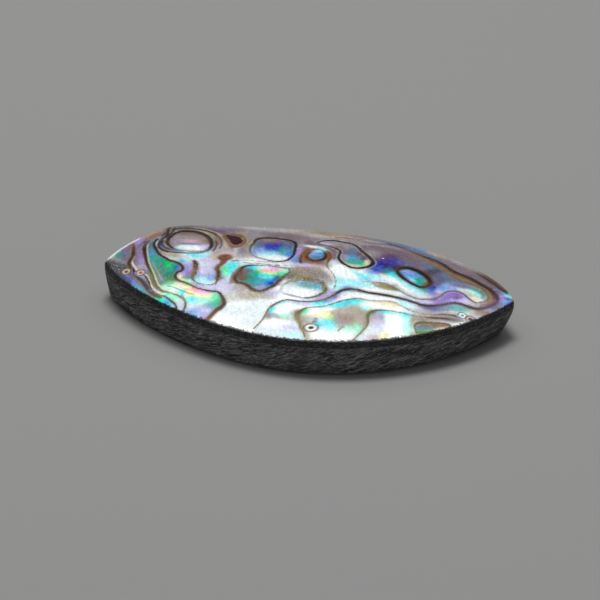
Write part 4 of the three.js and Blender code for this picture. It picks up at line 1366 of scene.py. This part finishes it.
sliceMesh = {
    "edgeHeights": 7,                  # rings up the ground edge
    "rimSteps": 5,
    "grooveDepth": 0.012,              # mm, how deep the polish sinks along a dark line
    "grooveReach": 0.3,                # mm either side of the line's edge
}


def addMarks(mesh, marks, heights):
    # the finish reads these by name
    for label in ("tone", "seamTone"):
        shade = np.column_stack([np.clip(marks[label], 0, 1), np.ones(len(heights))])
        layer = mesh.attributes.new(label, "FLOAT_COLOR", "POINT")
        layer.data.foreach_set("color", shade.ravel())
    for label, values in (("seam", marks["seam"]), ("paleRim", marks["paleRim"]), ("glow", marks["glow"]),
                          ("crazed", marks["crazed"]), ("height", heights)):
        layer = mesh.attributes.new(label, "FLOAT", "POINT")
        layer.data.foreach_set("value", np.asarray(values, dtype=float))


def buildSlice():
    bevelStart = rimHeight - outline["rimRadius"]
    heights = list(np.linspace(filmTop, bevelStart, sliceMesh["edgeHeights"]))
    heights += roundHeights(bevelStart, rimHeight, sliceMesh["rimSteps"])[1:]
    rings = [ringAt(z) for z in heights]
    size = len(rings[0])
    wallPoints = np.vstack(rings)
    topFirst = (len(rings) - 1) * size
    domePoints, domeFaces = domeGrid(rings[-1], size)

    def onWholePiece(i):
        # the dome counts its rim from 0; that rim is the highest ring
        return topFirst + i if i < size else len(wallPoints) + i - size

    faces = wallFaces(len(rings), size) + flatFaces(0, size, False)
    faces += [tuple(onWholePiece(i) for i in face) for face in domeFaces]
    points = np.vstack([wallPoints, domePoints])
    marks = paintSlice(points[:, :2] - [0, middleY])
    onDome = points[:, 2] > rimHeight - 0.02
    points[onDome, 2] += marks["relief"][onDome]
    closeness = np.clip(1 - np.abs(marks["seam"]) / sliceMesh["grooveReach"], 0, 1)
    groove = -sliceMesh["grooveDepth"] * closeness * onDome
    points[:, 2] += np.where(points[:, 2] > rimHeight + 0.05, groove, 0)
    piece = makePiece("shellSlice", points, faces, "shell_slice")
    addMarks(piece.data, marks, points[:, 2])
    return piece


filmMesh = {
    "inset": 0.02,                     # mm, how far the film's middle lies in
    "heights": 4,
}


def buildFilm():
    count = filmMesh["heights"]
    rings = [ringAt(z) for z in np.linspace(filmLow[2], filmHigh[2], count)]
    shrink = 1 - filmMesh["inset"] / outline["halfWidth"]
    for ring in rings[1:-1]:
        ring[:, :2] = [0, middleY] + (ring[:, :2] - [0, middleY]) * shrink
    size = len(rings[0])
    faces = wallFaces(count, size) + flatFaces(0, size, False) + flatFaces((count - 1) * size, size, True)
    return makePiece("glueFilm", np.vstack(rings), faces, "glue_film")


backingMesh = {
    "footSteps": 10,
    "wallHeights": 26,
}


def buildBacking():
    foot = roundHeights(outline["footRadius"], 0, backingMesh["footSteps"])[::-1]
    heights = foot + list(np.linspace(outline["footRadius"], backingHigh[2], backingMesh["wallHeights"]))[1:]
    rings = [ringAt(z) for z in heights]
    size = len(rings[0])
    faces = wallFaces(len(rings), size) + flatFaces(0, size, False)
    faces += flatFaces((len(rings) - 1) * size, size, True)
    return makePiece("backingBlock", np.vstack(rings), faces, "backing")


shellSlice = buildSlice()
print("shell slice built:", len(shellSlice.data.vertices), "points")
glueFilm = buildFilm()
backingBlock = buildBacking()
print("glue film and backing built")


class Nodes:
    # wires one material
    def __init__(self, name):
        self.material = bpy.data.materials.new(name)
        self.material.use_nodes = True
        self.tree = self.material.node_tree
        self.tree.nodes.clear()
        self.shader = self.add("ShaderNodeBsdfPrincipled")
        out = self.add("ShaderNodeOutputMaterial")
        self.tree.links.new(self.shader.outputs[0], out.inputs[0])

    def add(self, kind, **settings):
        node = self.tree.nodes.new(kind)
        for key, value in settings.items():
            setattr(node, key, value)
        return node

    def plug(self, value, socket):
        if hasattr(value, "is_output"):
            self.tree.links.new(value, socket)
        else:
            socket.default_value = value

    def math(self, operation, a, b=0.0, c=None, clamp=False):
        node = self.add("ShaderNodeMath", operation=operation, use_clamp=clamp)
        self.plug(a, node.inputs[0])
        self.plug(b, node.inputs[1])
        if c is not None:
            self.plug(c, node.inputs[2])
        return node.outputs[0]

    def spread(self, value, fromLow, fromHigh, toLow=0.0, toHigh=1.0):
        node = self.add("ShaderNodeMapRange", interpolation_type="SMOOTHSTEP")
        for socket, v in zip(node.inputs[:5], (value, fromLow, fromHigh, toLow, toHigh)):
            self.plug(v, socket)
        return node.outputs[0]

    def times(self, a, b):
        return self.math("MULTIPLY", a, b)

    def minus(self, a, b):
        return self.math("SUBTRACT", a, b)

    def mix(self, amount, a, b, blend="MIX"):
        node = self.add("ShaderNodeMix", data_type="RGBA", blend_type=blend)
        self.plug(amount, node.inputs[0])
        self.plug(a, node.inputs[6])
        self.plug(b, node.inputs[7])
        return node.outputs[2]

    def dim(self, colour, shade):
        # a colour made darker or lighter by one number
        grey = self.mix(1.0, (1, 1, 1, 1), shade, "MULTIPLY")
        return self.mix(1.0, colour, grey, "MULTIPLY")

    def value(self, name):
        # one of the numbers laid down on the slice's points
        return self.add("ShaderNodeAttribute", attribute_name=name).outputs["Fac"]

    def colour(self, name):
        return self.add("ShaderNodeAttribute", attribute_name=name).outputs["Color"]

    def where(self, scale=(1, 1, 1), turn=(0, 0, 0)):
        coordinates = self.add("ShaderNodeTexCoord")
        mapping = self.add("ShaderNodeMapping", vector_type="TEXTURE")     # turned first, stretched after
        mapping.inputs["Scale"].default_value = [1 / s for s in scale]
        mapping.inputs["Rotation"].default_value = turn
        self.tree.links.new(coordinates.outputs["Object"], mapping.inputs["Vector"])
        return mapping.outputs[0]

    def noise(self, vector, scale, detail=4.0, roughness=0.55, distortion=0.0):
        node = self.add("ShaderNodeTexNoise")
        for key, v in (("Vector", vector), ("Scale", scale), ("Detail", detail), ("Roughness", roughness),
                       ("Distortion", distortion)):
            self.plug(v, node.inputs[key])
        return node.outputs[0]

    def bump(self, height, distance, strength=1.0, normal=None):
        node = self.add("ShaderNodeBump")
        self.plug(height, node.inputs["Height"])
        node.inputs["Distance"].default_value = distance
        node.inputs["Strength"].default_value = strength
        if normal is not None:
            self.plug(normal, node.inputs["Normal"])
        return node.outputs[0]


nacreFinish = {
    "lineWobble": 0.09,                # mm, how rough the growth lines' edges are
    "lineFade": 0.1,                   # mm, how softly they run out
    "rimPlace": 0.22,                  # mm from the line to its pale rim
    "halo": 0.8,                       # strength of the shade that runs out from the lines
    "haloReach": 0.7,                  # mm
    "brown": 0.62,                     # strength of the brown next to the broad lines
    "brownReach": 0.36,                # mm
    "silk": 0.09,                      # strength of the fine silky strands
    "cloudiness": 0.12,                # how much a cool cloud veils the colours
    "rimStrength": 0.5,
    "crazeRagged": 4,                  # how much rougher the lines are where the nacre has crazed
    # strength of the painted glints: white specks in the crazing that stand for caught light
    "paintedGlint": 0.75,
    "gloom": 0.42,                     # strength of the dull specks in the crazing
    "grain": 0.14,
    "hueDrift": 0.025,
    "fray": 0.5,                       # mm, how far the ragged top of the darkened front edge wanders up and down
    "frontEdgeDark": 0.9,                       # strength of the darkening towards black along the front edge
    "metal": 0.12,
    "gloss": 0.16,
    "coat": 0.3,
}


def rgb(name):
    return (*linearColour(name), 1)


def nacreMaterial():
    n = Nodes("abaloneNacre")
    f = nacreFinish
    tone, seamTone = n.colour("tone"), n.colour("seamTone")
    seam, paleRim = n.value("seam"), n.value("paleRim")
    crazed, glow = n.value("crazed"), n.value("glow")
    place = n.where((1000, 1000, 1000))                    # in mm
    strands = n.noise(n.where((2700, 560, 1000), (0, 0, 0.3)), 1.0, 5, 0.6, 0.4)
    cloud = n.noise(place, 0.55, 4, 0.6, 0.3)
    fine = n.noise(place, 7.0, 3, 0.6)
    # the lines' edges wander a little, and more where the nacre has crazed
    ragged = n.math("ADD", f["lineWobble"] * 4, n.times(crazed, f["lineWobble"] * f["crazeRagged"]))
    wobble = n.times(n.minus(n.noise(place, 3.2, 4, 0.7), 0.5), ragged)
    edge = n.math("ADD", seam, wobble)
    line = n.spread(edge, -0.02, f["lineFade"], 1, 0)
    halo = n.math("POWER", n.spread(edge, -0.1, f["haloReach"], 1, 0), 1.5)
    rim = n.spread(n.math("ABSOLUTE", n.minus(edge, f["rimPlace"])), 0.0, 0.15, 1, 0)
    rim = n.times(rim, paleRim)
    rim = n.times(rim, n.spread(n.noise(place, 0.9, 3, 0.6), 0.35, 0.65))
    # colour runs a little along the strands of the shell
    colour = n.dim(tone, n.spread(strands, 0.3, 0.7, 1 - f["silk"], 1 + f["silk"] * 0.6))
    veil = n.mix(0.5, tone, rgb("periwinkle"))
    colour = n.mix(n.spread(cloud, 0.35, 0.75, 0, f["cloudiness"]), colour, veil)
    # shade and brown run out from the lines, and a pale rim lies beside them
    shaded = n.mix(1.0, colour, n.mix(0.3, seamTone, (1, 1, 1, 1)), "MULTIPLY")
    glowing = n.math("ADD", 0.15, n.times(glow, 0.85))
    colour = n.mix(n.times(n.times(halo, glowing), f["halo"]), colour, shaded)
    brown = n.times(n.spread(edge, 0.0, f["brownReach"], f["brown"], 0), glow)
    brown = n.times(brown, n.spread(n.noise(place, 1.3, 4, 0.65), 0.3, 0.6, 0.45, 1))
    colour = n.mix(brown, colour, n.mix(0.55, seamTone, rgb("bronze")))
    colour = n.mix(n.times(rim, f["rimStrength"]), colour, rgb("frost"))
    lineShade = n.mix(n.spread(fine, 0.35, 0.7), seamTone, n.mix(0.55, seamTone, rgb("coal")))
    colour = n.mix(line, colour, lineShade)
    # hue, strength and brightness drift over the stone
    hueNoise = n.noise(place, 0.8, 5, 0.65, 0.6)
    brightNoise = n.noise(n.where((1000, 1000, 1000), (0, 0, 0.7)), 2.6, 5, 0.7, 0.5)
    drift = n.add("ShaderNodeHueSaturation")
    n.plug(n.spread(hueNoise, 0.3, 0.7, 0.5 - f["hueDrift"], 0.5 + f["hueDrift"]), drift.inputs["Hue"])
    n.plug(n.spread(n.noise(place, 1.7, 4, 0.6), 0.3, 0.7, 0.95, 1.2), drift.inputs["Saturation"])
    n.plug(n.spread(brightNoise, 0.25, 0.75, 0.8, 1.14), drift.inputs["Value"])
    n.plug(colour, drift.inputs["Color"])
    # grain of the nacre's tiny plates; where it has crazed, dull specks and painted glints, white specks that
    # stand for light caught by the crazing
    grain = n.noise(place, 11.0, 2, 0.7)
    colour = n.dim(drift.outputs[0], n.spread(grain, 0.25, 0.75, 1 - f["grain"], 1 + f["grain"]))
    glint = n.times(n.spread(n.noise(place, 6.5, 3, 0.8), 0.54, 0.62), crazed)
    gloom = n.times(n.spread(n.noise(place, 4.2, 4, 0.8), 0.5, 0.62), crazed)
    colour = n.mix(n.times(gloom, f["gloom"]), colour, rgb("dusk"))
    colour = n.mix(n.times(glint, f["paintedGlint"]), colour, rgb("milkAndGlare"))
    # the front edge's rounding darkened towards black, with a ragged top
    apart = n.add("ShaderNodeSeparateXYZ")
    n.plug(place, apart.inputs[0])
    raggedTop = n.times(n.minus(n.noise(place, 4.5, 4, 0.75), 0.5), f["fray"])
    frayed = n.math("ADD", n.value("height"), raggedTop)
    frontEdgeDark = n.spread(frayed, rimHeight, rimHeight + 0.04, f["frontEdgeDark"], 0)
    frontEdgeDark = n.times(frontEdgeDark, n.spread(apart.outputs[1], -1, 2, 1, 0))      # the front only
    n.plug(n.mix(frontEdgeDark, colour, rgb("coal")), n.shader.inputs["Base Color"])
    n.shader.inputs["Metallic"].default_value = f["metal"]
    dullness = n.math("ADD", n.spread(strands, 0.3, 0.7, f["gloss"], f["gloss"] + 0.12), n.times(line, 0.2))
    n.plug(dullness, n.shader.inputs["Roughness"])
    n.shader.inputs["Specular IOR Level"].default_value = 0.35
    n.shader.inputs["Coat Weight"].default_value = f["coat"]
    n.shader.inputs["Coat Roughness"].default_value = 0.04
    normal = n.bump(strands, 0.00002, 0.5)
    normal = n.bump(n.spread(edge, -0.1, 0.25), 0.00003, 0.8, normal)
    normal = n.bump(n.times(n.noise(place, 6.0, 3, 0.8), crazed), 0.00005, 0.8, normal)
    n.plug(normal, n.shader.inputs["Normal"])
    return n.material


backingFinish = {
    "deep": (0.01, 0.01, 0.01),        # colour at the bottom of a scratch
    "worn": (0.12, 0.121, 0.119),      # and between scratches
    "crossed": (0.3, 0.301, 0.298),    # the second set of scratches
    "speck": (0.42, 0.42, 0.41),
    "pit": (0.003, 0.003, 0.003),
    "cloud": (0.014, 0.014, 0.015),
    "tilt": -0.2,                      # how far the scratches lean, in radians
    "crossTilt": -0.42,
}


def scratchField(n, tilt, lengthScale, heightScale):
    # streaks along the wall, much longer than they are high
    return n.noise(n.where((lengthScale, lengthScale, heightScale), (0, tilt, 0)), 1.0, 3, 0.7, 0.15)


def backingMaterial():
    n = Nodes("blackBacking")
    f = backingFinish
    level = scratchField(n, f["tilt"], 520, 5200)
    crossed = scratchField(n, f["crossTilt"], 700, 5200)
    specks = n.noise(n.where((1800, 1800, 4600), (0, -0.25, 0)), 1.0, 4, 0.8)
    cloud = n.noise(n.where((300, 300, 900)), 1.0, 3, 0.6)
    base = n.mix(n.spread(level, 0.42, 0.58), (*f["deep"], 1), (*f["worn"], 1))
    base = n.mix(n.spread(crossed, 0.52, 0.62, 0, 0.85), base, (*f["crossed"], 1))
    base = n.mix(n.spread(specks, 0.58, 0.66, 0, 0.9), base, (*f["speck"], 1))
    base = n.mix(n.spread(specks, 0.46, 0.38, 0, 0.9), base, (*f["pit"], 1))
    base = n.mix(n.spread(cloud, 0.35, 0.7, 0, 0.35), base, (*f["cloud"], 1))
    n.plug(base, n.shader.inputs["Base Color"])
    n.plug(n.spread(level, 0.35, 0.7, 0.8, 0.55), n.shader.inputs["Roughness"])
    normal = n.bump(level, 0.00008, 0.8)
    normal = n.bump(crossed, 0.00006, 0.7, normal)
    normal = n.bump(specks, 0.00005, 0.6, normal)
    n.plug(normal, n.shader.inputs["Normal"])
    return n.material


glueFinish = {
    "dark": (0.035, 0.034, 0.033),
    "light": (0.17, 0.16, 0.15),
}


def glueMaterial():
    n = Nodes("driedGlue")
    patchy = n.noise(n.where((500, 500, 500)), 1.0, 4, 0.6)
    base = n.mix(n.spread(patchy, 0.4, 0.65), (*glueFinish["dark"], 1), (*glueFinish["light"], 1))
    n.plug(base, n.shader.inputs["Base Color"])
    n.plug(n.spread(patchy, 0.3, 0.7, 0.3, 0.55), n.shader.inputs["Roughness"])
    n.plug(n.bump(patchy, 0.00003, 0.5), n.shader.inputs["Normal"])
    return n.material


groundEdgeFinish = {
    "deep": (0.006, 0.006, 0.007),
    "worn": (0.075, 0.075, 0.078),
    "speck": (0.22, 0.22, 0.23),
    "shellBelowTop": 0.08,             # mm below the rim, where the shell's own colour takes over
    "wander": 0.35,                    # mm, how much that place wanders
}


def groundEdgeMaterial():
    # the slice's narrow ground edge, near black with pale specks, giving way to the shell's own colour just
    # below the rim
    n = Nodes("groundShellEdge")
    f = groundEdgeFinish
    place = n.where((1000, 1000, 1000))
    specks = n.noise(n.where((2400, 2400, 3200), (0.6, 0, 0.4)), 1.0, 5, 0.75)
    base = n.mix(n.spread(specks, 0.46, 0.66), (*f["deep"], 1), (*f["worn"], 1))
    base = n.mix(n.spread(n.noise(place, 9.0, 2, 0.8), 0.62, 0.72, 0, 0.8), base, (*f["speck"], 1))
    wandering = n.times(n.minus(n.noise(place, 1.4, 4, 0.65), 0.5), f["wander"])
    top = n.math("ADD", n.value("height"), wandering)
    shell = n.mix(0.35, n.colour("tone"), rgb("umber"))
    shellFrom = rimHeight - f["shellBelowTop"]
    base = n.mix(n.spread(top, shellFrom - 0.06, shellFrom + 0.06), base, shell)
    n.plug(base, n.shader.inputs["Base Color"])
    n.plug(n.spread(specks, 0.4, 0.7, 0.7, 0.5), n.shader.inputs["Roughness"])
    n.plug(n.bump(specks, 0.00008, 0.8), n.shader.inputs["Normal"])
    return n.material


polishedDepth = 0.12                       # mm, how far the polish comes down past the rim
shellSlice.data.materials.append(nacreMaterial())
shellSlice.data.materials.append(groundEdgeMaterial())
for polygon in shellSlice.data.polygons:
    if polygon.center[2] < (rimHeight - polishedDepth) * mm:
        polygon.material_index = 1
glueFilm.data.materials.append(glueMaterial())
backingBlock.data.materials.append(backingMaterial())
print("finishes made")

# sizes in metres, lamps in watts
studio = {
    "floorSize": 1.2,
    "floorColour": (0.215, 0.213, 0.211),
    "worldColour": (0.55, 0.56, 0.58),
    "worldStrength": 0.11,
    "overheadEnergy": 2.4,             # the broad box, the one the polish mirrors
    "overheadSize": (1.0, 0.62),
    "overheadPlace": (-0.04, 0.15, 0.58),
    "topEnergy": 3.2,                  # the small lamp that draws the shadow
    "topSize": (0.2, 0.14),
    "topPlace": (-0.04, 0.11, 0.6),
    "frontEnergy": 0.5,
    "frontSize": (0.5, 0.3),
    "frontPlace": (0.12, -0.6, 0.22),
    "lampAim": (0, 0, 0.003),
}


def makeFloor():
    mesh = bpy.data.meshes.new("paleFloor")
    s = studio["floorSize"]
    mesh.from_pydata([(-s, -s, 0), (s, -s, 0), (s, s, 0), (-s, s, 0)], [], [(0, 1, 2, 3)])
    floor = bpy.data.objects.new("paleFloor", mesh)
    bpy.context.scene.collection.objects.link(floor)
    n = Nodes("floorPaint")
    n.shader.inputs["Base Color"].default_value = (*studio["floorColour"], 1)
    n.shader.inputs["Roughness"].default_value = 0.85
    mesh.materials.append(n.material)


def softbox(name, place, size, energy):
    light = bpy.data.lights.new(name, "AREA")
    light.shape = "RECTANGLE"
    light.size, light.size_y = size
    light.energy = energy
    lamp = bpy.data.objects.new(name, light)
    lamp.location = place
    towards = Vector(studio["lampAim"]) - Vector(place)
    lamp.rotation_euler = towards.to_track_quat("-Z", "Y").to_euler()
    bpy.context.scene.collection.objects.link(lamp)
    return lamp


def makeStudio():
    world = bpy.data.worlds.new("studioAir")
    world.use_nodes = True
    background = world.node_tree.nodes["Background"]
    background.inputs[0].default_value = (*studio["worldColour"], 1)
    background.inputs[1].default_value = studio["worldStrength"]
    bpy.context.scene.world = world
    softbox("overheadBox", studio["overheadPlace"], studio["overheadSize"], studio["overheadEnergy"])
    topLamp = softbox("topLamp", studio["topPlace"], studio["topSize"], studio["topEnergy"])
    topLamp.visible_glossy = False         # it lights the stone, but isn't mirrored in it
    softbox("frontFill", studio["frontPlace"], studio["frontSize"], studio["frontEnergy"])


viewpoint = {
    "azimuth": 9.504,                  # degrees
    "elevation": 34.5,
    "distance": 0.4,                   # metres
    "lens": 197.8,                     # mm
    "across": -0.917,                  # mm, where the camera aims, off the stone's middle
    "up": 1.872,
}


def makeCamera():
    a, e = math.radians(viewpoint["azimuth"]), math.radians(viewpoint["elevation"])
    right = Vector((math.cos(a), math.sin(a), 0))
    ahead = Vector((-math.sin(a) * math.cos(e), math.cos(a) * math.cos(e), -math.sin(e)))
    up = right.cross(ahead)
    target = Vector((0, middleY, 0)) * mm + right * viewpoint["across"] * mm + up * viewpoint["up"] * mm
    data = bpy.data.cameras.new("camera")
    data.lens = viewpoint["lens"]
    data.clip_start, data.clip_end = 0.01, 20
    camera = bpy.data.objects.new("camera", data)
    camera.location = target - ahead * viewpoint["distance"]
    camera.rotation_euler = ahead.to_track_quat("-Z", "Y").to_euler()
    bpy.context.scene.collection.objects.link(camera)
    bpy.context.scene.camera = camera


makeFloor()
makeStudio()
makeCamera()
bpy.context.scene.view_settings.view_transform = "Standard"
print("studio set")
